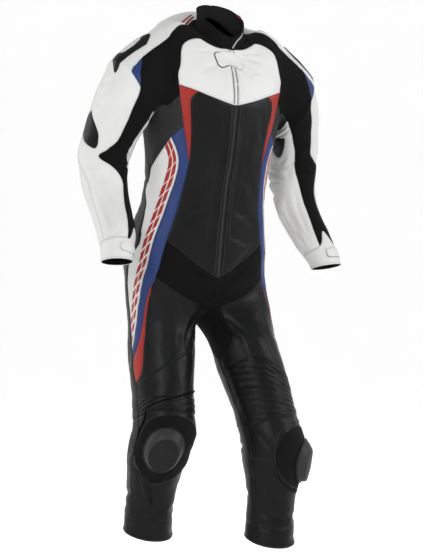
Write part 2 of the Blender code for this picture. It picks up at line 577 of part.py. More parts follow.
def shell(points, normals, faces, fnorm, rise, floor, thick, dome):
    """Closed panel: its faces moved in from the seams, an outer skin and an inner skin."""
    ids, local = np.unique(faces, return_inverse=True)
    local = local.reshape(faces.shape)
    directed = {}
    for i, f in enumerate(local):
        for k in range(3):
            directed[(f[k], f[(k + 1) % 3])] = i
    border = [(e, i) for e, i in directed.items() if (e[1], e[0]) not in directed]
    p = points[ids].copy()
    pulls = {}
    for (i, j), fi in border:
        inward = np.cross(fnorm[fi], p[j] - p[i])
        inward /= max(np.linalg.norm(inward), 1e-12)
        pulls.setdefault(i, []).append(inward)
        pulls.setdefault(j, []).append(inward)
    moved = p.copy()
    for i, ns in pulls.items():
        total = sum(ns)
        size = np.linalg.norm(total)
        if size > 1e-6:
            unit = total / size
            lean = max(min(float(unit @ n) for n in ns), 0.12)
            moved[i] = p[i] + unit * (SEAM_GAP / 2 / lean)
    n = normals[ids]
    stretch = np.ones(len(ids))
    for f, fn in zip(local, fnorm):
        for k in f:
            stretch[k] = min(stretch[k], float(n[k] @ fn))
    stretch = 1 / np.clip(stretch, 0.5, 1)
    if floor:                                           # the piece lies on another
        outer = moved + n * (floor + thick + dome[ids])[:, None]
        inner = moved + n * floor
    else:
        outer = moved + n * rise[ids][:, None]
        inner = moved - n * (thick * stretch)[:, None]
    count = len(ids)
    verts = np.concatenate([outer, inner])
    polys = [tuple(int(x) for x in f) for f in local]
    polys += [tuple(int(x) + count for x in f[::-1]) for f in local]
    for (i, j), _ in border:                            # neighbours split their edge walls alike
        i, j = int(i), int(j)
        if ids[i] < ids[j]:
            polys += [(j, i, j + count), (i, i + count, j + count)]
        else:
            polys += [(j, i, i + count), (j, i + count, j + count)]
    return verts, polys


# Materials: colour, roughness, metallic
MATERIALS = {
    "white_leather": ((0.80, 0.80, 0.78, 1), 0.42, 0.0),
    "charcoal_leather": ((0.035, 0.037, 0.040, 1), 0.38, 0.0),
    "black_stretch": ((0.012, 0.012, 0.013, 1), 0.80, 0.0),
    "red_leather": ((0.62, 0.03, 0.03, 1), 0.42, 0.0),
    "blue_leather": ((0.05, 0.10, 0.42, 1), 0.42, 0.0),
    "zip_tape": ((0.020, 0.020, 0.020, 1), 0.70, 0.0),
    "slider_plastic": ((0.020, 0.021, 0.022, 1), 0.45, 0.0),
    "loop_fabric": ((0.020, 0.020, 0.021, 1), 0.90, 0.0),
}
PAINT = {
    "white_leather": ("front_yoke", "white_side", "back_yoke", "sleeve_outer", "sleeve_inner", "cuff",
                      "cuff_tab", "throat_flap"),
    "red_leather": ("chest_flash", "red_stripe"),
    "blue_leather": ("blue_side", "diamond"),
    "black_stretch": ("stretch_band", "side_stretch", "groin", "collar", "inner_thigh"),
    "zip_tape": ("zip_strip",),
    "slider_plastic": ("knee_slider", "shoulder_cup"),
    "loop_fabric": ("slider_base",),
}


def own_material(name, slot):
    """A material of the object's own."""
    colour, roughness, metallic = MATERIALS[slot]
    material = bpy.data.materials.new(name)
    material.use_nodes = True
    material.diffuse_color = colour
    shader = material.node_tree.nodes["Principled BSDF"]
    shader.inputs["Base Color"].default_value = colour
    shader.inputs["Roughness"].default_value = roughness
    shader.inputs["Metallic"].default_value = metallic
    return material


def add_object(name, verts, polys, kind, group):
    mesh = bpy.data.meshes.new(name)
    mesh.from_pydata([tuple(v) for v in verts], [], polys)
    mesh.update()
    slot = next((s for s, names in PAINT.items() if kind in names), "charcoal_leather")
    mesh.materials.append(own_material(name, slot))
    if name.startswith("knee_slider"):
        mesh.shade_smooth()
    group.objects.link(bpy.data.objects.new(name, mesh))


def main():
    for obj in list(bpy.data.objects):
        bpy.data.objects.remove(obj)
    group = bpy.data.collections.new("motorcycle_race_suit")
    bpy.context.scene.collection.children.link(group)
    p, f, owner, codes, rise = build_surface()
    normals, fnorm = vertex_normals(p, f), facing(p, f)
    phi, v = codes[:, 2], codes[:, 3]
    away = ((phi - SLIDER_CENTRE[0]) / SLIDER_HALF[0]) ** 2 + ((v - SLIDER_CENTRE[1]) / SLIDER_HALF[1]) ** 2
    domed = np.where(codes[:, 0] == 2, SLIDER_DOME * np.sqrt(np.clip(1 - away, 0, 1)), 0)
    none = np.zeros(len(p))
    for name, (count, _) in PANELS.items():
        floor, thick = LIES_ON.get(name, (0.0, WALL))
        dome = domed if name == "knee_slider" else none
        for side, suffix in (((1, "_L"), (-1, "_R")) if count == 2 else ((0, ""),)):
            pick = np.array([name in names and side in (0, s) for s, names in owner])
            verts, polys = shell(p, normals, f[pick], fnorm[pick], rise, floor, thick, dome)
            add_object(name + suffix, verts, polys, name, group)


main()
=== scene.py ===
"""One-piece motorcycle race suit: leather and stretch panels, seams, sliders, zip and a pale studio."""
from functools import cache
from math import cos, pi, radians, sin

import bpy
import numpy as np
from mathutils import Matrix, Vector, noise
from mathutils.bvhtree import BVHTree
from mathutils.geometry import delaunay_2d_cdt
from mathutils.kdtree import KDTree


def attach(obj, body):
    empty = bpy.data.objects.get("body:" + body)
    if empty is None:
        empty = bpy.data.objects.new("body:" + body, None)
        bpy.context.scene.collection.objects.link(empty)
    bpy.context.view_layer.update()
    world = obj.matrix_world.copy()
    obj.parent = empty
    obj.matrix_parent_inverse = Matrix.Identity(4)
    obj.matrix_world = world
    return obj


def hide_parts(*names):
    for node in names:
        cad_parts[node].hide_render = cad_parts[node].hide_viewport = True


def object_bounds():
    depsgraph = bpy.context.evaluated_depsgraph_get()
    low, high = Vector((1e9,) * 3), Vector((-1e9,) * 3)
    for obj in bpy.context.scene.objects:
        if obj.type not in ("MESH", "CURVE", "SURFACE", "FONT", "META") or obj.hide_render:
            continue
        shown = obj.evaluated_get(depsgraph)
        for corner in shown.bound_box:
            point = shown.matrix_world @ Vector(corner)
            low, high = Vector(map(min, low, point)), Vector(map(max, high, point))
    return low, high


bl_info = {
    "name": "Race Suit",
    "version": (1, 0, 0),
    "blender": (4, 5, 0),
    "location": "3D View > Sidebar > Race Suit",
    "description": "Builds a hollow one-piece leather race suit panel by panel",
    "category": "Add Mesh",
}

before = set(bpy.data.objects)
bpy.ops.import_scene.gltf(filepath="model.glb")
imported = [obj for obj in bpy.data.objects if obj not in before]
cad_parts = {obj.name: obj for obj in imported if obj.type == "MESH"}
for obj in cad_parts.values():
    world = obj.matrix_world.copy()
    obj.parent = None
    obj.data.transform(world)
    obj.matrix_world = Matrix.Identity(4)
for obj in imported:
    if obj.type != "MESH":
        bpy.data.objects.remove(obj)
CAD_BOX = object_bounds()
BODY = "root"
SUFFIX = {1: "_L", -1: "_R", 0: ""}
MM = 0.001

WALL = 0.0020          # leather and lining together
SEAM_GAP = 0.00005     # between neighbouring panels, which are sewn tight
GRID = 0.0060          # spacing of the surface points
STEP = 0.0060          # spacing along the seams
SEAM_ROWS = (0.0016, 0.0036)   # extra rows of points beside every seam
RIBS = 9               # accordion ribs above the knees
RIB_ROWS = 8           # rows of points on a rib
RIB_SLANT = 3.0 / 120  # ribs dropped per degree towards the outside of the leg
RIB_ENDS = 82          # leg angle where the ribs run out at either side
WORN_ROW = 3.35        # the right knee's ribs are pulled flat above this row
WELD = 4e-5            # points closer than this are one

# Trunk sections from the crotch to the neck. Front runs from a=0, back to a=180 degrees.
TRUNK = np.array([
    # z front, z side, z back, y middle, half width, front, back, squareness
    (-0.712, -0.700, -0.712, 0.106, 0.150, 0.060, 0.075, 2.0),   # crotch
    (-0.665, -0.660, -0.665, 0.110, 0.188, 0.116, 0.131, 2.1),   # seat
    (-0.600, -0.600, -0.600, 0.112, 0.202, 0.132, 0.147, 2.2),   # hips
    (-0.520, -0.520, -0.520, 0.102, 0.198, 0.128, 0.139, 2.2),   # high hip
    (-0.440, -0.440, -0.440, 0.080, 0.180, 0.118, 0.122, 2.2),   # low waist
    (-0.380, -0.380, -0.380, 0.066, 0.172, 0.114, 0.114, 2.2),   # waist
    (-0.310, -0.310, -0.310, 0.052, 0.174, 0.120, 0.118, 2.2),   # ribs
    (-0.235, -0.235, -0.235, 0.044, 0.186, 0.126, 0.125, 2.2),   # underarm
    (-0.165, -0.160, -0.160, 0.036, 0.200, 0.126, 0.132, 2.3),   # chest
    (-0.110, -0.060, -0.070, 0.026, 0.212, 0.112, 0.132, 2.4),   # upper chest
    (-0.072,  0.024,  0.048, 0.018, 0.190, 0.092, 0.126, 2.4),   # shoulder
    (-0.045,  0.052,  0.100, 0.012, 0.130, 0.076, 0.106, 2.2),   # yoke
    (-0.020,  0.024,  0.080, 0.000, 0.066, 0.062, 0.062, 2.0),   # neck
])
# Sleeve sections from the shoulder to the cuff (left side; x is mirrored for the right)
SLEEVE = np.array([
    # x, y, z, tilt out, pitch forward, radius front, radius side
    (0.2390, 0.036, -0.128, 67,   0, 0.092, 0.102),
    (0.2550, 0.044, -0.160, 58,  -4, 0.088, 0.092),
    (0.2685, 0.054, -0.193, 48,  -8, 0.083, 0.084),
    (0.2770, 0.064, -0.226, 39, -10, 0.078, 0.076),
    (0.2850, 0.076, -0.269, 23,  -8, 0.073, 0.070),
    (0.2900, 0.088, -0.315, 10,   2, 0.069, 0.067),
    (0.2910, 0.080, -0.370,  4,  14, 0.063, 0.060),
    (0.2900, 0.052, -0.430,  4,  22, 0.056, 0.055),
    (0.2980, -0.003, -0.500, 8,  26, 0.050, 0.049),
    (0.3090, -0.034, -0.545, 10, 26, 0.044, 0.043),
    (0.3160, -0.050, -0.579,  5, 12, 0.043, 0.041),
])
# Leg sections from the thigh to the hem. The left leg stands forward, the right leg back.
LEG = np.array([
    # left z, right z, pitch, radius front, radius side, left x, left y, right x, right y
    (-0.775, -0.775,  10, 0.098, 0.090, 0.111, 0.043, 0.101, 0.104),
    (-0.850, -0.850,  12, 0.094, 0.085, 0.119, 0.008, 0.107, 0.088),
    (-0.920, -0.918,  12, 0.087, 0.081, 0.127, -0.026, 0.115, 0.062),
    (-0.985, -0.975,   8, 0.086, 0.081, 0.135, -0.053, 0.125, 0.040),
    (-1.045, -1.028,   2, 0.088, 0.083, 0.140, -0.074, 0.135, 0.024),
    (-1.100, -1.080,  -4, 0.084, 0.079, 0.140, -0.080, 0.139, 0.038),
    (-1.152, -1.138,  -8, 0.070, 0.069, 0.137, -0.082, 0.139, 0.063),
    (-1.200, -1.190, -10, 0.063, 0.063, 0.135, -0.084, 0.138, 0.078),
    (-1.252, -1.244, -13, 0.065, 0.063, 0.132, -0.087, 0.138, 0.086),
    (-1.296, -1.288, -16, 0.066, 0.065, 0.129, -0.090, 0.138, 0.088),
])
ARMHOLE_ANGLE, ARMHOLE_ROW = 90.0, 8.75          # centre of the armhole on the trunk
ARMHOLE_HALF, ARMHOLE_UP, ARMHOLE_DOWN = 40.0, 1.55, 1.40
LEG_LINE = np.array([0.25, 0.9, 1.9, 2.5, 1.9, 0.9, 0.25])[:, None]   # trunk row every 30 degrees
CROTCH_DROP = 0.020
ARMHOLE_RADIUS = 0.115
NECK_SPACING = 2.2             # times the step along other seams, as the neck is narrow
COLLAR_HEIGHT = 0.042
# Rim of the collar every 22.5 degrees from the front: left rise and lean out, right rise and lean out, in mm
COLLAR_RIM = MM * np.array([
    (0.0, 0, 0.0, 0), (-1.3, 0, -0.8, 0), (-2.5, 0, -2.0, 0), (-2.2, 1, -2.7, 0), (5.0, 6, 1.5, 0),
    (11.8, 12, 10.3, 2), (9.5, 14, 8.5, 5), (1.7, 8, 0.7, 3), (-4.5, 0, -4.5, 0)])
TWIST = {("S", 1): 0.0, ("S", -1): -55.0, ("L", 1): 13.0, ("L", -1): -13.0}
TWIST_ROWS = {"S": (5.0, 7.5), "L": (3.0, 5.0)}


def spline(rows, t):
    """Catmull-Rom value of a section table at row t."""
    t = np.asarray(t, float)
    n = len(rows)
    i = np.clip(np.floor(t).astype(int), 0, n - 2)
    f = (t - i)[..., None]
    p1, p2 = rows[i], rows[i + 1]
    p0 = np.where((i > 0)[..., None], rows[np.maximum(i - 1, 0)], 2 * p1 - p2)
    p3 = np.where((i < n - 2)[..., None], rows[np.minimum(i + 2, n - 1)], 2 * p2 - p1)
    return p1 + 0.5 * f * (p2 - p0 + f * (2 * p0 - 5 * p1 + 4 * p2 - p3 + f * (3 * (p1 - p2) + p3 - p0)))


def spline_rings(pts, t):
    """The same curve down a tube, where every point has its own column of ring points."""
    n = pts.shape[-2]
    i = np.clip(np.floor(t).astype(int), 0, n - 2)
    f = (t - i)[..., None]
    pick = lambda j: np.take_along_axis(pts, np.clip(j, 0, n - 1)[..., None, None], axis=-2)[..., 0, :]
    p1, p2 = pick(i), pick(i + 1)
    p0 = np.where((i > 0)[..., None], pick(i - 1), 2 * p1 - p2)
    p3 = np.where((i < n - 2)[..., None], pick(i + 2), 2 * p2 - p1)
    return p1 + 0.5 * f * (p2 - p0 + f * (2 * p0 - 5 * p1 + 4 * p2 - p3 + f * (3 * (p1 - p2) + p3 - p0)))


def trunk(side, a, v):
    a, v = np.broadcast_arrays(np.radians(np.asarray(a, float)), np.asarray(v, float))
    zf, zs, zb, y, w, f, b, n = np.moveaxis(spline(TRUNK, v), -1, 0)
    c, s = np.cos(a), np.sin(a)
    x = w * np.sign(s) * np.abs(s) ** (2 / n)
    y = y - np.where(c > 0, f, b) * np.sign(c) * np.abs(c) ** (2 / n)
    z = zs + (np.where(c > 0, zf, zb) - zs) * c * c
    return np.stack([side * x, y, z], -1)


def armhole_at(phi, grow=1.0):
    """Trunk angle and row of the armhole: phi 0 front, 90 top, 180 back, 270 armpit."""
    c, s = np.cos(np.radians(phi)), np.sin(np.radians(phi))
    return (ARMHOLE_ANGLE - ARMHOLE_HALF * grow * c,
            ARMHOLE_ROW + np.where(s > 0, ARMHOLE_UP, ARMHOLE_DOWN) * grow * s)


def leg_row(a):
    return spline(LEG_LINE, np.asarray(a, float) / 30)[..., 0]


def tube(side, x, y, z, tilt, pitch, rf, rs, phi):
    """Ellipse rings of a tube; each has its centre, tilt, pitch and two radii."""
    t, p = np.radians(tilt), np.radians(pitch)
    out = np.stack([side * np.cos(t), 0 * t, np.sin(t)], -1)
    down = np.stack([side * np.sin(t), 0 * t, -np.cos(t)], -1)
    front = np.array([0, -1.0, 0]) * np.cos(p)[:, None] - down * np.sin(p)[:, None]
    centre = np.stack([side * x, y, z], -1)
    ph = np.radians(phi)[..., None, None]
    return centre + np.cos(ph) * front * rf[:, None] + np.sin(ph) * out * rs[:, None]


def twisted(kind, side, phi, v):
    lo, hi = TWIST_ROWS[kind]
    t = np.clip((v - lo) / (hi - lo), 0, 1)
    return phi + TWIST[kind, side] * t * t * (3 - 2 * t)


def sleeve(side, phi, v):
    phi, v = np.broadcast_arrays(np.asarray(phi, float), np.asarray(v, float))
    x, y, z, tilt, pitch, rf, rs = SLEEVE.T
    turned = twisted("S", side, phi, v)
    rings = tube(side, x, y, z, tilt, pitch, rf, rs, turned)
    first = trunk(side, *armhole_at(phi))[..., None, :]
    before = trunk(side, *armhole_at(phi, 1.3))[..., None, :]
    return spline_rings(np.concatenate([before, first, rings], axis=-2), v + 1)


def leg_top(side, phi, rise):
    """Top of the leg: the leg line round the trunk, then the crotch line from back to front."""
    deg = np.where(phi > 315, phi - 360, np.where(phi < -45, phi + 360, phi))
    a = np.clip((deg + 45) / 1.5, 0, 180)
    p = trunk(side, a, leg_row(a) + rise)
    t = np.clip((deg - 225) / 90, 0, 1)[..., None]
    row = leg_row(0.0)
    q = trunk(side, 180.0, row) * (1 - t) + trunk(side, 0.0, row) * t
    q = q - np.array([0, 0, 1.0]) * (CROTCH_DROP * 4 * t * (1 - t))
    if rise:
        q = q + np.array([-side * 0.06, 0, 0]) * np.sin(t * pi) + np.array([0, 0, 0.02])
    return np.where((deg <= 225)[..., None], p, q)


def leg(side, phi, v):
    phi, v = np.broadcast_arrays(np.asarray(phi, float), np.asarray(v, float))
    zl, zr, pitch, rf, rs, xl, yl, xr, yr = LEG.T
    x, y, z = (xl, yl, zl) if side > 0 else (xr, yr, zr)
    rings = tube(side, x, y, z, 0 * z, pitch, rf, rs, twisted("L", side, phi, v))
    first = leg_top(side, phi, 0.0)[..., None, :]
    before = leg_top(side, phi, 0.8)[..., None, :]
    return spline_rings(np.concatenate([before, first, rings], axis=-2), v + 1)


def collar(side, a, v):
    """The standing collar, with its rim pushed about as it sags and stands open with no neck inside."""
    a, v = np.broadcast_arrays(np.asarray(a, float), np.asarray(v, float))
    c, s = np.cos(np.radians(a)), np.sin(np.radians(a))
    up = np.stack([-side * 0.10 * s, 0.10 * c - 0.05, 1 + 0 * a], -1)
    half = slice(0, 2) if side > 0 else slice(2, 4)
    rise, lean = np.moveaxis(spline(COLLAR_RIM, a / 22.5)[..., half], -1, 0)
    pushed = np.stack([side * lean, 0.3 * lean, rise], -1)
    upright = up * ((COLLAR_HEIGHT - 0.008 * c * c) * v)[..., None]
    return trunk(side, a, 12.0) + upright + pushed * v[..., None]


SURFACE = {"T": trunk, "S": sleeve, "L": leg, "C": collar}
ROUND = {"T": 0.17 * pi / 180, "S": 0.068 * pi / 180, "L": 0.085 * pi / 180, "C": 0.066 * pi / 180}


def arm(phi):
    a, v = armhole_at(float(phi))
    return (float(a), float(v))


def line(a):
    return (float(a), float(leg_row(a)))


ARM_STOPS = (50, 180, -125, -38)                       # seams that cross the armhole
LINE_STOPS = (10, 54, 65, 88, 165)                     # seams that cross the leg line
NECK_STOPS = (4.8, 14, 160)                            # seams that meet the collar
# Seams on the left half of the trunk: angle round from the centre front, section row
TRUNK_SEAMS = {
    "zip": [(4.8, 12), (1.8, 11), (0.8, 10), (0.8, 9), (0.9, 7.99), (1.3, 6), (1.3, 5), (1.2, 3),
            (1.2, 1.82)],
    "zip end": [(1.2, 1.82), (0, 1.78)],
    "yoke top": [(14, 12), (29, 11.66), (45.5, 11.3)],
    "yoke edge": [(45.5, 11.3), (46.5, 10.7), (45.5, 10), (42.6, 9.5), (42.8, 9.2), (45, 8.95),
                  (45, 8.56)],
    "yoke hem": [(0.9, 7.99), (27, 8.42), (45, 8.56)],
    "flash inner": [(27, 8.42), (34, 8.14), (35.5, 7.85), (36, 7.0), (37.5, 5.9)],
    "flash outer": [(45, 8.56), (45, 8.2), (43, 7.1), (41, 6.6), (39, 6.15), (37.5, 5.9)],
    "blue front": [(37.5, 5.9), (39.4, 5.2), (41, 4.5), (42.2, 3.75), (44.5, 3.0), (49, 2.2), line(54)],
    "blue back": [(57, 6.75), (51, 6.3), (48.4, 5.85), (50.4, 5.2), (53.6, 4.6), (56, 3.8), (57.5, 3.2),
                  (60, 2.6), line(65)],
    "stretch hem": [(43, 7.1), (57, 6.75), (88, 5.72)],
    "stretch back": [(88, 5.72), (100, 6.3), arm(-125)],
    "stretch front": [(45, 8.2), arm(-38)],
    "side back": [(88, 5.72), (89, 5.3), (94, 4.9), (86, 4.1), (78, 3.3), (76, 2.9), line(88)],
    "groin": [(1.2, 1.82), (11, 2.1), (30, 2.65), (44.5, 3.0)],
    "band top": [(160, 12), (146, 11.76), (132, 11.72), (110, 11.62), (90, 11.45), (74, 11.20),
                 (66.5, 10.5), arm(50)],
    "back yoke": [arm(180), (155, 8.3), (180, 8.1)],
    "seat": [(86, 4.1), (120, 3.9), (150, 3.7), (180, 3.6)],
    "throat flap": [(0, 11.8), (10, 11.75), (20, 11.35), (17, 10.95), (8, 10.6), (0, 10.6)],
}
SLEEVE_SEAMS = {
    "band outer": [(50, 0), (44, 0.7), (41.5, 0.76), (30, 0.95), (8, 1.5), (0, 2.7), (-2, 3.6),
                   (6, 4.9), (30, 5.6), (62, 6.1), (44, 6.6), (32, 7.3), (38, 8.0), (44, 8.85),
                   (46, 9.8)],
    "band inner": [(-38, 0), (-48, 0.7), (-52, 1.3), (-49, 2.2), (-46, 3.2), (-38, 4.5), (-29, 5.7),
                   (-18, 7.1), (-13, 8.2), (-20, 9.0), (-26, 9.8)],
    "underarm": [(-48, 0.7), (-80, 0.85), (-108, 0.6), (-125, 0)],
    "gusset": [(-67, 2.0), (-68, 3.3), (-76, 4.4), (-96, 3.9), (-106, 2.8), (-90, 1.8), (-67, 2.0)],
    "cuff": [(-180, 9.8), (-100, 9.8), (-26, 9.8), (12, 9.05), (34, 9.7), (46, 9.8), (110, 9.8),
             (180, 9.8)],
    "diamond": [(41.5, 0.76), (37, 1.42), (8, 1.5)],
    "cup": [(60, 0.5), (80, 0.28), (100, 0.55), (94, 1.15), (66, 2.1), (64, 1.25), (60, 0.5)],
    "elbow": [(92, 4.2), (112, 4.5), (104, 5.2), (62, 5.7), (50, 5.0), (92, 4.2)],
    "tab": [(-10, 10.08), (62, 10.08), (70, 10.3), (62, 10.54), (-10, 10.54), (-10, 10.08)],
}
LEG_SEAMS = {
    "blue front": [(36, 0), (42, 0.2), (52.5, 0.48), (66.5, 0.95), (81, 1.45), (88, 1.7)],
    "blue back": [(52.5, 0), (65, 0.45), (76.5, 0.78), (84, 1.02), (90, 1.3)],
    "white back": [(87, 0), (98, 0.25), (97, 0.5), (93, 0.9), (90, 1.3), (88, 1.7)],
    "red front": [(42, 0.2), (54, 0.66), (59, 1.0), (63, 1.4), (66, 2.02), (73, 2.4), (87, 2.65)],
    "red back": [(88, 1.7), (91, 2.2), (87, 2.65)],
    "inner front": [(-30, 0), (-42, 0.7), (-60, 1.35), (-90, 1.75)],
    "inner back": [(202.5, 0), (215, 0.7), (240, 1.35), (270, 1.75)],
    "knee top": [(-90, 2.15), (-58, 1.95), (-22, 1.8), (0, 1.95), (30, 2.25), (64, 2.52), (87, 2.65)],
    "knee middle": [(-90, 4.3), (-60, 4.2), (-28, 4.05), (0, 4.0), (40, 3.85), (88, 4.1)],
    "knee bottom": [(-90, 5.8), (-50, 5.65), (-18, 6.0), (8, 6.8), (42, 7.3), (74, 7.05), (94, 6.0)],
    "outer": [(87, 2.65), (86, 3.4), (88, 4.1), (93, 5.0), (94, 6.0), (93, 7.0), (88, 8.0), (82, 9.0)],
    "knee back": [(88, 4.1), (130, 4.3), (190, 4.4), (270, 4.3)],
    "hem": [(-90, 9.05), (-40, 9.0), (20, 8.9), (82, 9.0), (150, 9.1), (210, 9.1), (270, 9.05)],
}
SLIDER_CENTRE, SLIDER_HALF, BASE_HALF = (39, 5.6), (34, 0.92), (46, 1.26)
# Panels: base name, sides kept apart or joined, then domain and a point inside each region
PANELS = {
    "front_yoke": (2, [("T", 22, 9.5), ("T", 12, 11.0)]),
    "front_body": (2, [("T", 20, 5.0)]),
    "chest_flash": (2, [("T", 40, 7.8)]),
    "side_stretch": (2, [("T", 62, 7.1), ("S", -85, 0.3), ("S", -85, 3.0)]),
    "blue_side": (2, [("T", 44, 5.0), ("L", 57, 0.5)]),
    "white_side": (2, [("T", 65, 4.8), ("L", 80, 0.5)]),
    "stretch_band": (2, [("T", 50, 10.8), ("S", -20, 3.0)]),
    "zip_strip": (1, [("T", 0.4, 9.0), ("T", 0.5, 11.1), ("T", 1.0, 11.9)]),
    "throat_flap": (1, [("T", 12, 11.0), ("T", 0.5, 11.1)]),
    "groin": (1, [("T", 15, 1.4)]),
    "back_yoke": (1, [("T", 150, 10.5)]),
    "back": (1, [("T", 150, 6.0)]),
    "seat": (1, [("T", 150, 2.2)]),
    "collar": (1, [("C", 90, 0.5)]),
    "sleeve_outer": (2, [("S", 110, 7.0), ("S", 78, 0.9)]),
    "sleeve_inner": (2, [("S", -110, 5.0)]),
    "diamond": (2, [("S", 26, 1.3)]),
    "elbow_patch": (2, [("S", 80, 5.0)]),
    "shoulder_cup": (2, [("S", 78, 0.9)]),
    "cuff": (2, [("S", 120, 10.4), ("S", 20, 10.4)]),
    "cuff_tab": (2, [("S", 20, 10.4)]),
    "thigh_front": (2, [("L", 0, 1.0)]),
    "thigh_back": (2, [("L", 150, 2.0)]),
    "inner_thigh": (2, [("L", -75, 0.5), ("L", 255, 0.5)]),
    "red_stripe": (2, [("L", 67, 1.25)]),
    "knee_stretch": (2, [("L", 0, 3.0)]),
    "knee_panel": (2, [("L", -60, 5.0), ("L", 39, 6.65), ("L", 39, 5.6)]),
    "slider_base": (2, [("L", 39, 6.65), ("L", 39, 5.6)]),
    "knee_slider": (2, [("L", 39, 5.6)]),
    "shin": (2, [("L", 0, 8.0)]),
    "calf": (2, [("L", 180, 7.0)]),
    "hem_band": (2, [("L", 20, 9.5)]),
}
# Pieces that lie on another panel, the gap under them and the thickness of a sewn one
LIES_ON = ("throat_flap", "shoulder_cup", "cuff_tab", "slider_base", "knee_slider")
LAID_GAP, LAID_THICK = 0.0003, 0.0018


@cache
def run_length(kind):
    """Distance down the piece at each section row."""
    rows = {"T": 12, "S": len(SLEEVE), "L": len(LEG), "C": 1}[kind]
    v = np.arange(rows + 1.0)
    ring = np.stack([SURFACE[kind](1, a, v) for a in np.linspace(0, 180, 7)])
    step = np.linalg.norm(np.diff(ring, axis=1), axis=-1).mean(axis=0)
    return v, np.concatenate([[0], np.cumsum(step)])


def seam_points(kind, points, step):
    """A smooth seam through its points, each kept as a vertex."""
    v, run = run_length(kind)
    p = np.array(points, float)
    out = [p[0]]
    for i in range(len(p) - 1):
        size = np.hypot((p[i + 1, 0] - p[i, 0]) * ROUND[kind],
                        np.interp(p[i + 1, 1], v, run) - np.interp(p[i, 1], v, run))
        n = max(1, int(round(size / step)))
        for k in range(1, n + 1):
            out.append(p[i + 1] if k == n else spline(p, i + k / n))
    return np.array(out)


def ring_stops(lo, hi, step, stops):
    """Even stops from lo to hi that also hold the given ones."""
    even = np.linspace(lo, hi, max(2, int(round((hi - lo) / step)) + 1))
    inner = [e for e in even[1:-1] if all(abs(e - s) > 0.45 * step for s in stops)]
    return sorted(set([float(lo), float(hi)] + [float(s) for s in stops if lo < s < hi] + inner))


def oval(centre, half, n):
    t = np.arange(n + 1) % n * 2 * pi / n
    return [(centre[0] + half[0] * np.cos(k), centre[1] + half[1] * np.sin(k)) for k in t]


def domain_lines(kind, step):
    """Outline and seams of one domain as polylines."""
    turn = step / ROUND[kind]
    down = lambda a, lo, hi: seam_points(kind, [(a, lo), (a, hi)], step)
    if kind == "T":
        arms = ring_stops(-180, 180, step / ARMHOLE_RADIUS * 180 / pi, ARM_STOPS)[:-1]
        loop = [arm(p) for p in arms]
        legs = [line(a) for a in ring_stops(0, 180, turn, LINE_STOPS)]
        necks = [(a, 12.0) for a in ring_stops(0, 180, turn * NECK_SPACING, NECK_STOPS)]
        lines = [loop + loop[:1], legs, necks]
        front = [(0, float(leg_row(0))), (0, 1.78), (0, 4), (0, 6), (0, 8), (0, 10.6), (0, 11.8), (0, 12)]
        rear = [(180, float(leg_row(180))), (180, 3.6), (180, 5.8), (180, 8.1), (180, 10), (180, 12)]
        lines += [seam_points(kind, front, step), seam_points(kind, rear, step)]
        seams = TRUNK_SEAMS
    elif kind == "S":
        arms = ring_stops(-180, 180, step / ARMHOLE_RADIUS * 180 / pi, ARM_STOPS)
        lines = [[(p, 0.0) for p in arms], [(p, 11.0) for p in ring_stops(-180, 180, turn * 1.4, ())]]
        rows = [(0, 9.8), (9.8, 11)]
        lines += [down(a, lo, hi) for a in (-180, 180) for lo, hi in rows]
        seams = SLEEVE_SEAMS
    elif kind == "L":
        legs = [1.5 * a - 45 for a in ring_stops(0, 180, step / ROUND["T"], LINE_STOPS)]
        lines = [[(-90.0, 0.0), (-67.5, 0.0)] + [(p, 0.0) for p in legs] + [(247.5, 0.0), (270.0, 0.0)],
                 [(p, 10.0) for p in ring_stops(-90, 270, turn, ())]]
        for a in (-90, 270):
            for lo, hi in ((0, 1.75), (1.75, 2.15), (2.15, 4.3), (4.3, 5.8), (5.8, 9.05), (9.05, 10)):
                lines.append(down(a, lo, hi))
        seams = dict(LEG_SEAMS)
        seams["slider"] = oval(SLIDER_CENTRE, SLIDER_HALF, 14)
        seams["base"] = oval(SLIDER_CENTRE, BASE_HALF, 14)
    else:
        necks = ring_stops(0, 180, step / ROUND["T"] * NECK_SPACING, NECK_STOPS)
        lines = [[(a, 0.0) for a in necks], [(a, 1.0) for a in necks]]
        lines += [[(a, 0.0), (a, 0.5), (a, 1.0)] for a in (0.0, 180.0)]
        seams = {}
    return [np.array(l, float) for l in lines] + [seam_points(kind, s, step) for s in seams.values()]


def armhole_reach(a, v):
    """Distance from the middle of the armhole, as a share of its size: 1 on its edge."""
    da, dv = (a - ARMHOLE_ANGLE) / ARMHOLE_HALF, v - ARMHOLE_ROW
    return np.sqrt(da ** 2 + (dv / np.where(dv > 0, ARMHOLE_UP, ARMHOLE_DOWN)) ** 2)


def inside(kind, a, v):
    """Which points lie on the cloth of a domain."""
    if kind == "T":
        return (v > leg_row(a)) & (armhole_reach(a, v) >= 1)
    return np.ones(len(a), bool)


def point_tree(spots):
    """Search tree of points in space."""
    tree = KDTree(len(spots))
    for i, spot in enumerate(spots):
        tree.insert(spot, i)
    tree.balance()
    return tree


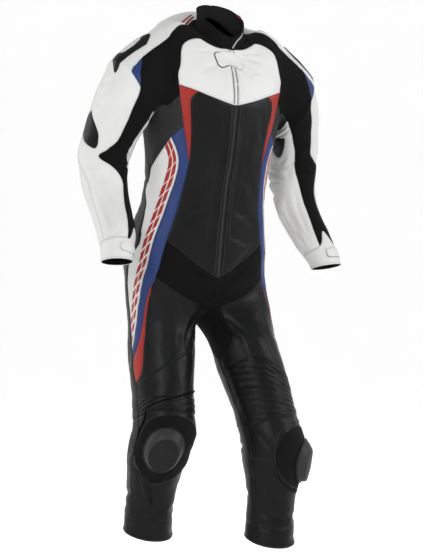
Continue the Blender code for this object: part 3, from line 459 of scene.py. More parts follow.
def triangulate(kind, step, grid):
    """Triangles of a domain, each with the number of the region that its seams close off."""
    v, run = run_length(kind)
    flat = lambda p: np.column_stack([p[:, 0] * ROUND[kind], np.interp(p[:, 1], v, run)])
    coords, edges = [], []
    for poly in domain_lines(kind, step):
        start = len(coords)
        coords += list(poly)
        edges += [(start + i, start + i + 1) for i in range(len(poly) - 1)]
    seams = np.array(coords)
    lo, hi = flat(seams).min(axis=0), flat(seams).max(axis=0)
    xs = np.arange(lo[0] + grid / 2, hi[0], grid)
    rows = []
    for k, y in enumerate(np.arange(lo[1] + grid * 0.43, hi[1], grid * 0.87)):
        rows.append(np.column_stack([xs + (k % 2) * grid / 2, np.full(len(xs), y)]))
    pts = np.concatenate(rows) if rows else np.zeros((0, 2))
    a, b = flat(seams)[np.array(edges)[:, 0]], flat(seams)[np.array(edges)[:, 1]]
    middle, along = (a + b) / 2, b - a
    across = np.column_stack([-along[:, 1], along[:, 0]]) / np.linalg.norm(along, axis=1, keepdims=True)
    samples = np.concatenate([a + along * t for t in (0, 0.25, 0.5, 0.75)] + [flat(seams)])
    tree = point_tree([(x, y, 0) for x, y in samples])
    sets = [(pts, SEAM_ROWS[-1] + 0.42 * grid)]
    sets += [(middle + across * row * s, row * 0.9) for row in SEAM_ROWS for s in (1, -1)]
    if kind == "L":                                     # the accordion has its own rows
        sets.append((flat(accordion_rows(grid * 0.8)), 0.0012))
    found = []
    for i, (spots, room) in enumerate(sets):
        av = np.column_stack([spots[:, 0] / ROUND[kind], np.interp(spots[:, 1], run, v)])
        keep = inside(kind, av[:, 0], av[:, 1])
        if kind == "L" and i < len(sets) - 1:
            keep &= ~accordion(av[:, 0], av[:, 1])
        keep &= np.array([tree.find((x, y, 0))[2] for x, y in spots]) > room
        found.append(av[keep])
    every = np.concatenate([seams] + found)
    verts, out_edges, faces, own, own_edges, _ = delaunay_2d_cdt(
        [Vector(p) for p in flat(every)], edges, [], 0, 1e-6)
    uv = np.array([every[o[0]] if o else (p[0] / ROUND[kind], np.interp(p[1], run, v))
                   for o, p in zip(own, verts)])
    fixed = {tuple(sorted(e)) for e, o in zip(out_edges, own_edges) if o}
    faces = [tuple(f) for f in faces]
    parent = list(range(len(faces)))

    def root(i):
        while parent[i] != i:
            parent[i] = parent[parent[i]]
            i = parent[i]
        return i

    seen = {}
    for i, f in enumerate(faces):
        for j in range(3):
            e = tuple(sorted((f[j], f[(j + 1) % 3])))
            if e in fixed:
                continue
            if e in seen:
                parent[root(i)] = root(seen[e])
            else:
                seen[e] = i
    return uv, np.array(faces), np.array([root(i) for i in range(len(faces))]), flat


def accordion_span(phi):
    """Rows where the accordion starts and ends at this angle."""
    return [np.interp(phi, *np.array(LEG_SEAMS[name]).T) for name in ("knee top", "knee middle")]


def accordion(phi, v):
    top, low = accordion_span(phi)
    return (phi < 86) & (v > top) & (v < low)


def accordion_rows(grid):
    phi = np.arange(-78, 80, grid / ROUND["L"])
    top, low = accordion_span(phi)
    out = []
    for k in range(-3 * RIB_ROWS, RIB_ROWS * (RIBS + 3)):
        shift = (k % 2) * grid / 2 / ROUND["L"]
        share = (k / RIB_ROWS + RIB_SLANT * phi) / RIBS
        keep = (share > 0.01) & (share < 0.99)
        out.append(np.column_stack([phi + shift, top + (low - top) * share])[keep])
    return np.concatenate(out)


def ribs(phi, v):
    """Height of the accordion: rounded ribs with sharp valleys."""
    top, low = accordion_span(phi)
    place = (v - top) / np.maximum(low - top, 1e-6) * RIBS
    t = place - RIB_SLANT * phi
    fade = 14
    edge = np.clip((RIB_ENDS - phi) / fade, 0, 1) * np.clip((phi + RIB_ENDS) / fade, 0, 1)
    edge = edge * np.clip(place / 0.5, 0, 1) * np.clip((RIBS - place) / 0.5, 0, 1)
    uneven = 1 + 0.18 * np.sin(phi * 0.11 + np.floor(t) * 2.3)
    return suit_sizes().rib_height * uneven * np.abs(np.sin(pi * t)) ** 0.75 * edge


# Broad folds of the garment: domain, angle, row, spread in degrees, spread in rows, depth
FOLDS = [
    ("S", -12, 5.6, 50, 0.35, -0.0050),     # bend of the elbow
    ("S", -30, 4.9, 45, 0.30, -0.0030),
    ("S", 170, 5.3, 60, 0.70, 0.0040),      # elbow guard
    ("L", 180, 4.6, 60, 0.45, -0.0060),     # behind the knee
    ("L", 200, 3.7, 60, 0.35, -0.0040),
    ("L", 40, 5.5, 60, 0.9, 0.0030),        # knee guard
    ("L", -18, 4.75, 34, 0.50, 0.0045),     # knee cap
    ("L", -30, 5.75, 40, 0.30, -0.0025),
    ("T", 28, 2.2, 30, 0.35, -0.0030),      # groin
    ("T", 100, 4.3, 35, 0.35, -0.0040),     # waist
    ("T", 150, 3.9, 40, 0.30, -0.0030),
]
# Creases laid one by one: domain, side (0 both, 1 left, -1 right), start angle and row, end angle and row,
# bow in mm, half width in mm, depth in mm (below zero a trough, above zero a ridge)
CREASES = [
    # chest and zip placket
    ("T", 0, 2.9, 7.7, 4.2, 2.2, 1, 5, 1.5),
    ("T", 0, 7.2, 7.6, 7.6, 2.6, 2, 7, -1.4),
    ("T", 1, 13.5, 7.5, 11.5, 3.2, 5, 12, -1.3),
    ("T", -1, 15.0, 7.2, 13.0, 3.8, -5, 13, -1.1),
    ("T", 1, 20.0, 7.9, 30.0, 6.6, 4, 10, -1.4),
    ("T", -1, 18.0, 7.7, 31.0, 6.9, -3, 10, -1.2),
    ("T", 0, 12.0, 5.3, 31.0, 4.9, 4, 11, -1.2),
    ("T", 0, 9.0, 4.1, 33.0, 3.5, 6, 10, -1.5),
    ("T", 1, 6.0, 3.2, 25.0, 2.9, 3, 7, -1.6),
    # yoke
    ("T", 1, 11.0, 11.3, 27.0, 10.0, 4, 5, -1.4),
    ("T", 1, 22.0, 11.2, 31.0, 10.4, 3, 7, 1.2),
    ("T", 1, 9.0, 10.6, 17.0, 9.4, 4, 7, -1.3),
    ("T", 1, 15.0, 11.5, 33.0, 10.6, 3, 6, -1.1),
    ("T", 1, 6.0, 10.3, 19.0, 8.9, -4, 6, -1.0),
    ("T", -1, 9.0, 10.5, 24.0, 9.2, 4, 7, -1.0),
    ("T", -1, 20.0, 11.3, 35.0, 10.3, 3, 6, -0.9),
    ("T", 0, 4.0, 9.8, 4.6, 8.3, 1, 5, 0.8),
    # crotch
    ("T", 0, 6.0, 1.5, 27.0, 2.2, 4, 6, -2.2),
    ("T", 1, 9.0, 1.9, 34.0, 3.0, 5, 7, -1.8),
    ("T", -1, 7.0, 2.0, 29.0, 3.3, 6, 7, -1.7),
    ("T", 0, 4.0, 1.0, 14.0, 0.7, 3, 6, -1.8),
    ("T", 0, 3.0, 1.5, 2.6, 0.6, 0, 5, -2.0),
    # side and armpit
    ("T", 0, 60.0, 6.6, 84.0, 6.1, 3, 6, -1.6),
    ("T", 0, 56.0, 7.4, 74.0, 6.9, 4, 6, -1.4),
    ("T", 0, 60.0, 4.5, 84.0, 4.1, 3, 8, -1.6),
    ("T", 0, 64.0, 3.5, 78.0, 3.1, 3, 8, -1.3),
    # back
    ("T", 0, 104.0, 5.0, 180.0, 4.7, 8, 11, -2.2),
    ("T", 0, 112.0, 4.4, 180.0, 4.1, 6, 9, -2.4),
    ("T", 1, 96.0, 5.6, 150.0, 5.3, -6, 10, -1.6),
    ("T", -1, 100.0, 5.4, 142.0, 5.6, -6, 10, -1.5),
    ("T", 0, 140.0, 7.9, 152.0, 6.0, 10, 14, -1.8),
    ("T", 0, 120.0, 7.4, 134.0, 6.1, 6, 10, -1.6),
    ("T", 0, 108.0, 6.9, 124.0, 6.3, 4, 8, -1.5),
    ("T", 0, 130.0, 10.6, 168.0, 9.6, 8, 12, -1.3),
    ("T", 0, 120.0, 9.8, 152.0, 8.9, 6, 11, -1.3),
    ("T", 0, 118.0, 3.1, 172.0, 2.9, 8, 11, -1.7),
    ("T", 0, 110.0, 1.9, 160.0, 1.3, 9, 11, -2.2),
    ("T", 0, 128.0, 1.3, 172.0, 0.9, 6, 9, -2.0),
    # upper arm
    ("S", 0, -104, 0.9, -62, 2.5, 6, 7, -2.0),
    ("S", 0, -128, 1.5, -80, 3.1, 6, 7, -2.2),
    ("S", 0, -150, 2.1, -104, 3.6, 5, 8, -1.8),
    ("S", 0, 160, 1.2, 130, 2.6, 6, 10, -1.6),
    ("S", 0, 76, 2.7, 118, 2.5, 5, 7, -1.2),
    ("S", -1, 70, 3.3, 112, 3.2, 4, 6, -1.4),
    ("S", 1, 64, 3.2, 104, 3.4, 4, 6, -1.2),
    ("S", 0, 20, 3.9, 84, 3.7, 5, 6, -1.4),
    # elbow
    ("S", 0, -50, 6.1, 22, 6.3, 4, 6, -2.2),
    ("S", 0, -46, 5.5, 14, 5.2, -4, 6, -1.8),
    ("S", 1, -46, 0.5, -92, 0.9, 4, 7, -2.8),
    ("S", 1, -48, 1.0, -96, 1.35, -4, 7, 2.0),
    ("S", 1, -50, 1.5, -100, 1.75, 4, 6, -2.6),
    ("S", 1, -61, 4.4, -76, 6.7, 5, 7, -2.4),
    ("S", 1, -50, 4.2, -58, 6.5, 3, 6, 1.5),
    ("S", 1, -34, 5.2, -42, 6.9, 3, 6, -2.0),
    ("S", 1, -88, 4.6, -40, 5.9, 6, 7, -2.2),
    ("S", 1, -58, 6.9, -72, 9.5, 5, 8, -2.2),
    ("S", 1, -28, 7.2, -38, 9.3, 3, 6, -1.6),
    ("S", 1, -44, 7.0, -54, 9.3, -3, 9, 1.6),
    ("S", -1, 94, 6.5, 104, 9.4, 6, 12, -1.8),
    ("S", -1, 70, 2.1, 86, 4.0, 5, 12, -1.5),
    ("S", 0, -52, 6.5, -128, 5.6, 6, 7, -3.2),
    ("S", 0, -56, 6.7, -150, 6.3, 4, 6, -2.8),
    ("S", 0, -60, 6.9, -150, 7.0, -4, 7, -2.6),
    ("S", 0, -62, 6.2, -112, 4.9, 5, 6, -2.6),
    ("S", 0, -72, 5.3, -140, 4.5, 4, 7, -2.2),
    ("S", 0, -58, 7.1, -110, 7.7, -5, 6, -2.2),
    ("S", 0, -90, 5.9, -124, 6.8, 2, 8, 1.8),
    ("S", 0, -84, 4.6, -106, 5.3, 2, 8, 1.6),
    ("S", 0, 60, 6.4, 116, 6.6, 5, 6, -1.4),
    ("S", -1, 56, 5.9, 104, 5.8, -4, 5, -1.2),
    ("S", 0, 58, 7.0, 108, 7.4, 5, 6, -1.3),
    ("S", 0, 150, 4.6, 200, 4.3, 5, 8, -1.6),
    ("S", 0, 140, 6.3, 210, 6.6, 6, 8, -1.8),
    # forearm
    ("S", 0, -96, 7.5, -74, 9.5, 6, 8, -1.9),
    ("S", 0, -132, 7.3, -112, 9.5, -5, 9, -1.7),
    ("S", 0, -60, 8.0, -48, 9.6, 4, 6, -1.4),
    ("S", 0, 66, 7.7, 74, 9.5, 4, 8, -1.0),
    ("S", 0, 104, 7.5, 96, 9.4, -4, 9, -1.1),
    ("S", 0, 150, 7.6, 160, 9.3, 5, 9, -1.2),
    ("S", 0, -120, 9.5, -60, 9.6, 3, 5, -1.3),
    ("S", 0, 60, 9.4, 120, 9.6, 3, 5, -0.9),
    # groin and thigh
    ("L", 0, -62, 0.25, -34, 1.5, 6, 8, -2.4),
    ("L", 0, -36, 0.15, -12, 1.6, 6, 9, -2.0),
    ("L", 0, -14, 0.2, 6, 1.8, 5, 11, -1.3),
    ("L", -1, -40, 0.9, -30, 1.9, 3, 9, 1.6),
    ("L", 1, -38, 0.8, -26, 2.0, 3, 10, 1.6),
    ("L", 1, 12, 0.5, 26, 2.0, 5, 14, -1.3),
    ("L", -1, 14, 0.7, 24, 2.0, 5, 13, -1.0),
    ("L", 0, 246, 0.3, 214, 1.2, 7, 9, -2.2),
    ("L", 0, 226, 0.15, 190, 0.8, 7, 10, -2.0),
    ("L", 0, 100, 1.2, 128, 2.4, 6, 12, -1.4),
    ("L", 0, 200, 1.4, 172, 2.7, 8, 12, -1.6),
    ("L", 0, 240, 1.7, 228, 3.0, 6, 10, -1.4),
    # behind the knee
    ("L", 0, 112, 3.7, 212, 3.4, 7, 8, -2.2),
    ("L", 0, 118, 4.2, 244, 4.0, 6, 7, -2.8),
    ("L", 0, 124, 4.7, 236, 4.6, -5, 8, -3.0),
    ("L", 0, 132, 5.2, 250, 5.1, 5, 7, -2.6),
    ("L", 0, 140, 5.7, 224, 5.7, -6, 8, -2.0),
    ("L", 0, 104, 5.6, 126, 6.3, 3, 7, -1.4),
    # knee, shank and hem
    ("L", 0, -70, 4.5, -30, 5.4, 6, 8, -1.3),
    ("L", -1, -20, 4.3, 20, 4.2, 3, 5, -1.0),
    ("L", 0, -64, 6.2, -20, 6.8, 5, 7, -1.4),
    ("L", 0, 60, 7.4, 84, 7.7, 3, 6, -1.3),
    ("L", -1, 62, 6.7, 35, 8.4, 5, 6, -2.8),
    ("L", -1, 70, 6.9, 46, 8.3, 5, 8, 1.4),
    ("L", -1, 94, 6.15, 74, 6.4, 3, 6, 1.8),
    ("L", -1, 95, 6.5, 70, 6.75, 3, 5, -1.7),
    ("L", -1, 42, 6.9, 12, 7.1, 3, 4, -1.6),
    ("L", -1, 36, 7.15, 18, 7.3, -3, 4, -1.2),
    ("L", 1, -50, 7.3, -8, 7.6, 4, 7, -1.3),
    ("L", 0, 2, 8.3, 62, 8.5, 4, 6, -1.6),
    ("L", 0, 16, 8.7, 78, 8.7, -3, 5, -1.3),
    ("L", 0, -74, 8.2, -12, 8.5, 4, 7, -1.5),
    ("L", 0, -84, 8.7, -30, 8.8, 3, 6, -1.2),
    ("L", 0, 96, 7.7, 168, 8.0, 6, 8, -1.6),
    ("L", 0, 176, 7.3, 250, 7.6, 6, 9, -1.6),
    ("L", 0, 120, 8.5, 214, 8.6, 5, 7, -1.6),
    ("L", 0, 10, 9.5, 60, 9.6, 3, 6, -1.1),
    ("L", 0, -60, 9.6, -16, 9.5, 3, 6, -1.0),
    ("L", 0, 130, 9.5, 214, 9.6, 4, 7, -1.2),
]
NOISE = [(0.090, 0.0013), (0.035, 0.0006), (0.014, 0.00025)]      # size and height of uneven form
SEAM_DEPTH, SEAM_WIDTH = 0.0012, 0.0022
PIPED, PIPE_WIDTH = {"zip_strip", "front_yoke"}, 0.0012           # dark edges of the zip on the yoke, partly edging and partly painted shade in the gap
STRIPED = {"white_side", "blue_side"}                             # the bars run beside this seam
JOIN_FADE = 0.35               # rows over which the smoothing beside a join fades out
JOIN_ENDS = {"arm": 1.45, "leg": 0.85, "S": 1.5, "L": 1.1, "C": -1}
JOIN_ROUNDS = 90


def suit_sizes():
    return bpy.context.scene.race_suit_sizes


def suit_colours():
    return bpy.context.scene.race_suit_colours


def fold(kind, a, v):
    out = np.zeros(len(a))
    for k, a0, v0, da, dv, depth in FOLDS:
        if k == kind:
            out += depth * np.exp(-((a - a0) / da) ** 2 - ((v - v0) / dv) ** 2)
    return out


def crease_height(kind, side, a, v):
    """Height of the listed creases at points of one domain."""
    rows, run = run_length(kind)
    p = np.column_stack([a * ROUND[kind], np.interp(v, rows, run)])
    out = np.zeros(len(p))
    strength = suit_sizes().crease_strength
    for k, s, a0, v0, a1, v1, bow, half, depth in CREASES:
        if k != kind or s not in (0, side):
            continue
        wander = side * 0.18
        ends = np.array([(a0, v0), (a1, v1 + 0.06 * wander)])
        q = np.column_stack([ends[:, 0] * ROUND[kind], np.interp(ends[:, 1], rows, run)])
        along = q[1] - q[0]
        size = np.linalg.norm(along)
        across = np.array([-along[1], along[0]]) / size
        width = half * MM
        t = ((p - q[0]) @ along) / size ** 2
        near = (t > -0.1) & (t < 1.1)
        bend = bow * MM * np.sin(pi * t) + 0.15 * bow * MM * np.sin(5 * pi * t + wander)
        d = ((p - q[0]) @ across - bend) / (width * (0.75 + 0.5 * np.sin(pi * np.clip(t, 0, 1))))
        taper = np.clip(t * (1 - t) * 6, 0, 1)
        shape = (1 - 0.55 * d * d) * np.exp(-0.8 * d * d)
        out += np.where(near, depth * MM * strength * taper * shape, 0)
    return out


def near_joins(kind, a, v):
    """How strongly a point beside the armhole or the leg line is smoothed."""
    fade = lambda distance, end: np.clip((end - distance) / JOIN_FADE, 0, 1)
    if kind == "T":
        return np.maximum(fade(armhole_reach(a, v), JOIN_ENDS["arm"]),
                          fade(v - leg_row(np.clip(a, 0, 180)), JOIN_ENDS["leg"]))
    return fade(v, JOIN_ENDS[kind])


def unit(vectors):
    return vectors / np.maximum(np.linalg.norm(vectors, axis=-1, keepdims=True), 1e-15)


def crossed(points, faces):
    """Cross product of two sides of each triangle: its normal, as long as twice its area."""
    return np.cross(points[faces[:, 1]] - points[faces[:, 0]], points[faces[:, 2]] - points[faces[:, 0]])


def facing(points, faces):
    return unit(crossed(points, faces))


def gather(index, values, count):
    """Sum of values at each index."""
    return np.column_stack([np.bincount(index, values[:, k], count) for k in range(values.shape[1])])


def vertex_normals(points, faces):
    n = crossed(points, faces)
    return unit(sum(gather(faces[:, k], n, len(points)) for k in range(3)))


def smooth(points, faces, weight, times):
    pairs = np.concatenate([faces[:, [0, 1]], faces[:, [1, 2]], faces[:, [2, 0]]])
    pairs = np.unique(np.sort(pairs, axis=1), axis=0)
    ends, others = pairs.ravel(), pairs[:, ::-1].ravel()
    count = np.maximum(np.bincount(ends, minlength=len(points)), 1)[:, None]
    for _ in range(times):
        mean = gather(ends, points[others], len(points)) / count
        points = points + 0.5 * weight[:, None] * (mean - points)
    return points


class Domain:
    """One domain on one side: its points in rows and angles, its faces and where they are in space."""

    def __init__(self, kind, side, start, uv, flat, faces, owner):
        self.kind, self.side, self.start = kind, side, start
        self.uv, self.flat, self.faces, self.owner = uv, flat, faces, owner
        self.tree = None

    def find(self, suit, a, v):
        """Point and normal of the finished surface at an angle and row."""
        if self.tree is None:
            self.tree = BVHTree.FromPolygons([(x, y, 0) for x, y in self.flat], self.faces.tolist())
        rows, run = run_length(self.kind)
        spot = Vector((a * ROUND[self.kind], float(np.interp(v, rows, run)), 0))
        hit, _, i, _ = self.tree.find_nearest(spot)
        f = self.faces[i]
        p, q, r = self.flat[f]
        area = (q[0] - p[0]) * (r[1] - p[1]) - (q[1] - p[1]) * (r[0] - p[0])
        w1 = ((hit[0] - p[0]) * (r[1] - p[1]) - (hit[1] - p[1]) * (r[0] - p[0])) / area
        w2 = ((q[0] - p[0]) * (hit[1] - p[1]) - (q[1] - p[1]) * (hit[0] - p[0])) / area
        g = suit.back[f + self.start]
        w = np.array([1 - w1 - w2, w1, w2])
        n = w @ suit.normals[g]
        return w @ suit.points[g], n / np.linalg.norm(n)


class Suit:
    """The whole finished surface: points, faces, the panels that own them and where the seams run."""

    def __init__(self):
        self.domains, self.ribbed = {}, []
        raw, faces, owner, uvs = [], [], [], []
        depth, weight, rise, creased = [], [], [], []
        start = 0
        for kind in "TSLC":
            uv, tris, region, flat = triangulate(kind, STEP, GRID)
            names = self.name_regions(kind, uv, tris, region, flat)
            keep = np.array([int(r) in names for r in region])
            tris, region = tris[keep], region[keep]
            plane = flat(uv)
            for side in (1, -1):
                turn = side < 0 if kind in "TC" else side > 0
                f = tris[:, ::-1] if turn else tris
                owners = [(side, names[int(r)]) for r in region]
                self.domains[kind, side] = Domain(kind, side, start, uv, plane, f, owners)
                a, v = uv[:, 0], uv[:, 1]
                raw.append(SURFACE[kind](side, a, v))
                depth.append(fold(kind, a, v))
                weight.append(near_joins(kind, a, v))
                rise.append(self.rib_height(kind, side, a, v))
                creased.append(crease_height(kind, side, a, v))
                uvs.append(plane)
                faces.append(f + start)
                owner += owners
                start += len(uv)
        raw, faces = np.concatenate(raw), np.concatenate(faces)
        _, first, back = np.unique(np.round(raw / WELD).astype(np.int64), axis=0,
                                   return_index=True, return_inverse=True)
        self.back, self.faces, self.owner = back.reshape(-1), back.reshape(-1)[faces], owner
        self.uv = np.concatenate(uvs)[first]
        self.corner_uv = np.concatenate(uvs)[faces]
        count = len(first)
        mean = lambda x: np.bincount(self.back, np.concatenate(x), count) / np.bincount(self.back)
        most = np.zeros(count)
        np.maximum.at(most, self.back, np.concatenate(weight))
        p = smooth(raw[first], self.faces, most, JOIN_ROUNDS)
        p = p + vertex_normals(p, self.faces) * mean(depth)[:, None]
        self.base = p
        self.find_seams(p)
        lift = mean(creased) + self.noise_height(p)
        lift -= suit_sizes().seam_depth * np.exp(-(self.seam / SEAM_WIDTH) ** 2)
        self.points = p + vertex_normals(p, self.faces) * lift[:, None]
        self.normals = vertex_normals(self.points, self.faces)
        self.rise = mean(rise)
        # painted shade: darkness in the valleys between the accordion ribs, worked out from the rib height
        self.shade = np.clip(1.15 - self.rise / suit_sizes().rib_height, 0, 1) * (mean(self.ribbed) > 0.5)

    @staticmethod
    def name_regions(kind, uv, tris, region, flat):
        tri = flat(uv)[tris]
        names = {}
        for name, (_, seeds) in PANELS.items():
            for seed in [s for s in seeds if s[0] == kind]:
                q = flat(np.array([seed[1:]], float))[0]
                d = [np.cross(tri[:, (k + 1) % 3] - tri[:, k], q - tri[:, k]) for k in range(3)]
                hit = np.where(((d[0] >= 0) & (d[1] >= 0) & (d[2] >= 0)) |
                               ((d[0] <= 0) & (d[1] <= 0) & (d[2] <= 0)))[0]
                if len(hit) == 0:
                    raise ValueError("no region for " + name)
                names.setdefault(int(region[hit[0]]), []).append(name)
        return names

    def rib_height(self, kind, side, a, v):
        if kind != "L":
            self.ribbed.append(np.zeros(len(a)))
            return np.zeros(len(a))
        on = accordion(a, v) & ~((side < 0) & (v < WORN_ROW))
        self.ribbed.append(on.astype(float))
        return np.where(on, ribs(a, v), 0)

    def noise_height(self, points):
        out = np.zeros(len(points))
        for size, height in NOISE:
            out += height * np.array([noise.noise(Vector(p) / size) for p in points])
        return out * suit_sizes().crease_strength

    def find_seams(self, p):
        """Distance from every point to the nearest seam, and to the seams with a look of their own."""
        base = [(next(n for n in names if n not in LIES_ON), side) for side, names in self.owner]
        joined = {name for name, (count, _) in PANELS.items() if count == 1}
        base = [(n, 0 if n in joined else s) for n, s in base]
        index = {key: i for i, key in enumerate(sorted(set(base)))}
        panel = np.array([index[b] for b in base])
        f = self.faces
        edges = np.concatenate([f[:, [0, 1]], f[:, [1, 2]], f[:, [2, 0]]])
        of = np.concatenate([panel] * 3)
        order = np.lexsort(np.sort(edges, axis=1).T)
        e, o = np.sort(edges, axis=1)[order], of[order]
        same = (e[1:] == e[:-1]).all(axis=1)
        i = np.where(same & (o[1:] != o[:-1]))[0]
        back = {i: k[0] for k, i in index.items()}
        self.seam = np.minimum(self.distance(p, e[i]), self.sewn_distance(p))
        pair = [{back[x], back[y]} for x, y in zip(o[i], o[i + 1])]
        self.piped = self.distance(p, e[i][[q == PIPED for q in pair]])
        self.striped = self.distance(p, e[i][[q == STRIPED for q in pair]])

    def sewn_distance(self, p):
        """Distance from every point to the nearest line sewn inside a panel."""
        self.points, self.normals = p, vertex_normals(p, self.faces)
        spots = []
        for kind, sides, stops in SEWN:
            for side in sides:
                spots += [self.at(kind, side, a, v)[0] for a, v in seam_points(kind, stops, 0.0012)]
        return self.reach(p, np.array(spots))

    def distance(self, p, edges):
        return self.reach(p, np.concatenate(
            [p[edges[:, 0]] * (1 - t) + p[edges[:, 1]] * t for t in (0, 0.33, 0.67)]))

    @staticmethod
    def reach(p, spots):
        tree = point_tree(spots)
        return np.array([tree.find(q)[2] for q in p])

    def at(self, kind, side, a, v):
        """Point and normal at an angle and row, also where the angle runs past the middle."""
        if kind in "TC" and a < 0:
            side, a = -side, -a
        return self.domains[kind, side].find(self, a, v)

    def panel_faces(self, name, side):
        return np.array([name in names and side in (0, s) for s, names in self.owner])


made = {}


def suit():
    """The finished surface, worked out once."""
    if "suit" not in made:
        made["suit"] = Suit()
    return made["suit"]


def border_of(faces):
    """Directed border edges of a set of faces, each with its face."""
    directed = {}
    for i, f in enumerate(faces.tolist()):
        for k in range(3):
            directed[f[k], f[(k + 1) % 3]] = i
    return [(e, i) for e, i in directed.items() if (e[1], e[0]) not in directed]


def loops_of(border):
    """Border edges in order round each hole or outline."""
    after = {}
    for (i, j), _ in border:
        after.setdefault(i, []).append(j)
    loops = []
    while after:
        first = next(iter(after))
        loop, here = [first], first
        while here in after:
            step = after[here].pop()
            if not after[here]:
                del after[here]
            if step == first:
                break
            loop.append(step)
            here = step
        loops.append(loop)
    return loops


def inward_at(points, fnorm, border):
    """Unit vector into the panel at each border point, and how much it leans."""
    pulls = {}
    for (i, j), f in border:
        inward = np.cross(fnorm[f], points[j] - points[i])
        inward /= max(np.linalg.norm(inward), 1e-12)
        pulls.setdefault(i, []).append(inward)
        pulls.setdefault(j, []).append(inward)
    out = {}
    for i, ns in pulls.items():
        total = sum(ns)
        size = np.linalg.norm(total)
        if size > 1e-6:
            mean = total / size
            out[i] = (mean, max(min(float(mean @ n) for n in ns), 0.12))
    return out


def panel_shell(faces, floor, thick):
    """A panel as a closed thin shell: outer skin, plain inner skin and the edge between them."""
    s = suit()
    ids, local = np.unique(faces, return_inverse=True)
    local = local.reshape(faces.shape)
    border = border_of(local)
    p, n = s.points[ids].copy(), s.normals[ids]
    for i, (inward, lean) in inward_at(p, facing(s.points, faces), border).items():
        p[i] += inward * (SEAM_GAP / 2 / lean)
    if floor:
        outer = p + n * (floor + thick)
        inner = p + n * floor
    else:
        outer = p + n * s.rise[ids][:, None]
        inner = p - n * thick
    count = len(ids)
    verts = np.concatenate([outer, inner])
    polys = np.concatenate([local, local[:, ::-1] + count])
    walls = np.array([(j, i, i + count, j + count) for (i, j), _ in border])
    return ids, verts, polys, walls, border


def new_object(name, verts, faces):
    mesh = bpy.data.meshes.new(name)
    mesh.from_pydata([tuple(v) for v in verts], [], [tuple(f) for f in faces])
    mesh.update()
    obj = bpy.data.objects.new(name, mesh)
    bpy.context.scene.collection.objects.link(obj)
    return obj


def finish_mesh(obj, angle=35):
    obj.data.shade_smooth()
    obj.data.set_sharp_from_angle(angle=radians(angle))


def add_values(mesh, name, values):
    layer = mesh.attributes.new(name, "FLOAT", "POINT")
    layer.data.foreach_set("value", np.asarray(values, np.float32))


def smallest_box(q):
    """Sides of the smallest rectangle round flat points, tried every 5 degrees."""
    sizes = []
    for tilt in np.radians(np.arange(0, 180, 5)):
        across, down = np.array([cos(tilt), sin(tilt)]), np.array([-sin(tilt), cos(tilt)])
        sizes.append((np.ptp(q @ across), np.ptp(q @ down)))
    return min(sizes, key=lambda size: size[0] * size[1])


def cut_size(name, sides):
    """Width, length and area of the flat piece that a panel is cut from."""
    s = suit()
    width, length, area = 0.0, 0.0, 0.0
    for kind in "TSLC":
        for side in sides:
            d = s.domains[kind, side]
            pick = [name in names for _, names in d.owner]
            if not any(pick):
                continue
            f = d.faces[pick]
            g = s.back[f + d.start]
            area += np.linalg.norm(crossed(s.base, g), axis=1).sum() / 2
            if side == sides[0]:
                q = d.flat[np.unique(f)]
                turn = 360 * ROUND[kind]
                if kind in "SL":                    # a piece that runs over the end of the domain
                    x = np.sort(q[:, 0])
                    gap = np.diff(np.append(x, x[0] + turn))
                    start = x[(np.argmax(gap) + 1) % len(x)]
                    q = np.column_stack([np.where(q[:, 0] < start - 1e-9, q[:, 0] + turn, q[:, 0]), q[:, 1]])
                elif len(sides) == 2:               # a piece that runs across the middle
                    middle = turn if q[:, 0].mean() > turn / 5 else 0.0
                    q = np.concatenate([q, np.column_stack([middle - q[:, 0], q[:, 1]])])
                best = smallest_box(q)
                width = max(width, min(best))
                length = max(length, max(best)) if kind == "C" else length + max(best)
    room = width * length
    if area > room:
        width *= area / room * 1.02
    if area < 0.32 * width * length:
        width *= area / (0.32 * width * length)
    return round(width, 3), round(length, 3), round(area, 4)


def make_panel(name, outer_material, second=None, thread=None):
    """One kind of panel on both sides, or once across the middle."""
    s = suit()
    for side in (1, -1) if PANELS[name][0] == 2 else (0,):
        node = name + SUFFIX[side]
        pick = s.panel_faces(name, side)
        floor, thick = (LAID_GAP, LAID_THICK) if name in LIES_ON else (0.0, WALL)
        ids, verts, polys, walls, border = panel_shell(s.faces[pick], floor, thick)
        obj = new_object(node + "_cloth", verts, [tuple(f) for f in polys] + [tuple(w) for w in walls])
        mesh = obj.data
        mesh.materials.append(outer_material)
        mesh.materials.append(materials()["lining"])
        inner = len(polys) // 2
        slots = np.zeros(len(mesh.polygons), np.int32)
        if not floor:
            slots[inner:2 * inner] = 1
        if second:
            material, test = second
            mesh.materials.append(material)
            centre = s.points[s.faces[pick]].mean(axis=1)
            slots[:inner][test(centre)] = 2
        mesh.polygons.foreach_set("material_index", slots)
        uv = mesh.uv_layers.new(name="UVMap")
        corner = np.zeros((len(mesh.loops), 2))
        flat = s.corner_uv[pick]
        corner[:inner * 3] = flat.reshape(-1, 2)
        corner[inner * 3:inner * 6] = flat[:, ::-1].reshape(-1, 2)
        uv.data.foreach_set("uv", corner.ravel())
        both = lambda x: np.concatenate([x[ids], x[ids]])
        # painted shade handed to the materials: darkening beside seams and in the accordion's rib valleys
        add_values(mesh, "seam", both(np.exp(-(s.seam / SEAM_WIDTH) ** 2)))
        add_values(mesh, "valley", both(s.shade))
        # dark zip edges on the yoke: partly edging, partly painted shade in the gap
        add_values(mesh, "piping", both(np.exp(-(s.piped / PIPE_WIDTH) ** 2)))
        add_values(mesh, "stripe", both(s.striped))
        finish_mesh(obj, 50)
        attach(obj, BODY)
        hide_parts(node)
        width, length, area = cut_size(name, (side,) if side else (1, -1))
        made[node] = obj
        if thread:
            sew_border(verts[:len(ids)], polys[:inner], border, thread, side)


# Pieces laid on the surface ----------------------------------------------------------------------

BASE_OUTLINE = [(28, 4.08), (58, 4.20), (80, 4.62), (90, 5.25), (88, 6.00), (74, 6.62), (46, 7.05),
                (18, 6.98), (-8, 6.72), (-30, 6.30), (-42, 5.65), (-38, 4.95), (-20, 4.42), (4, 4.16),
                (28, 4.08)]
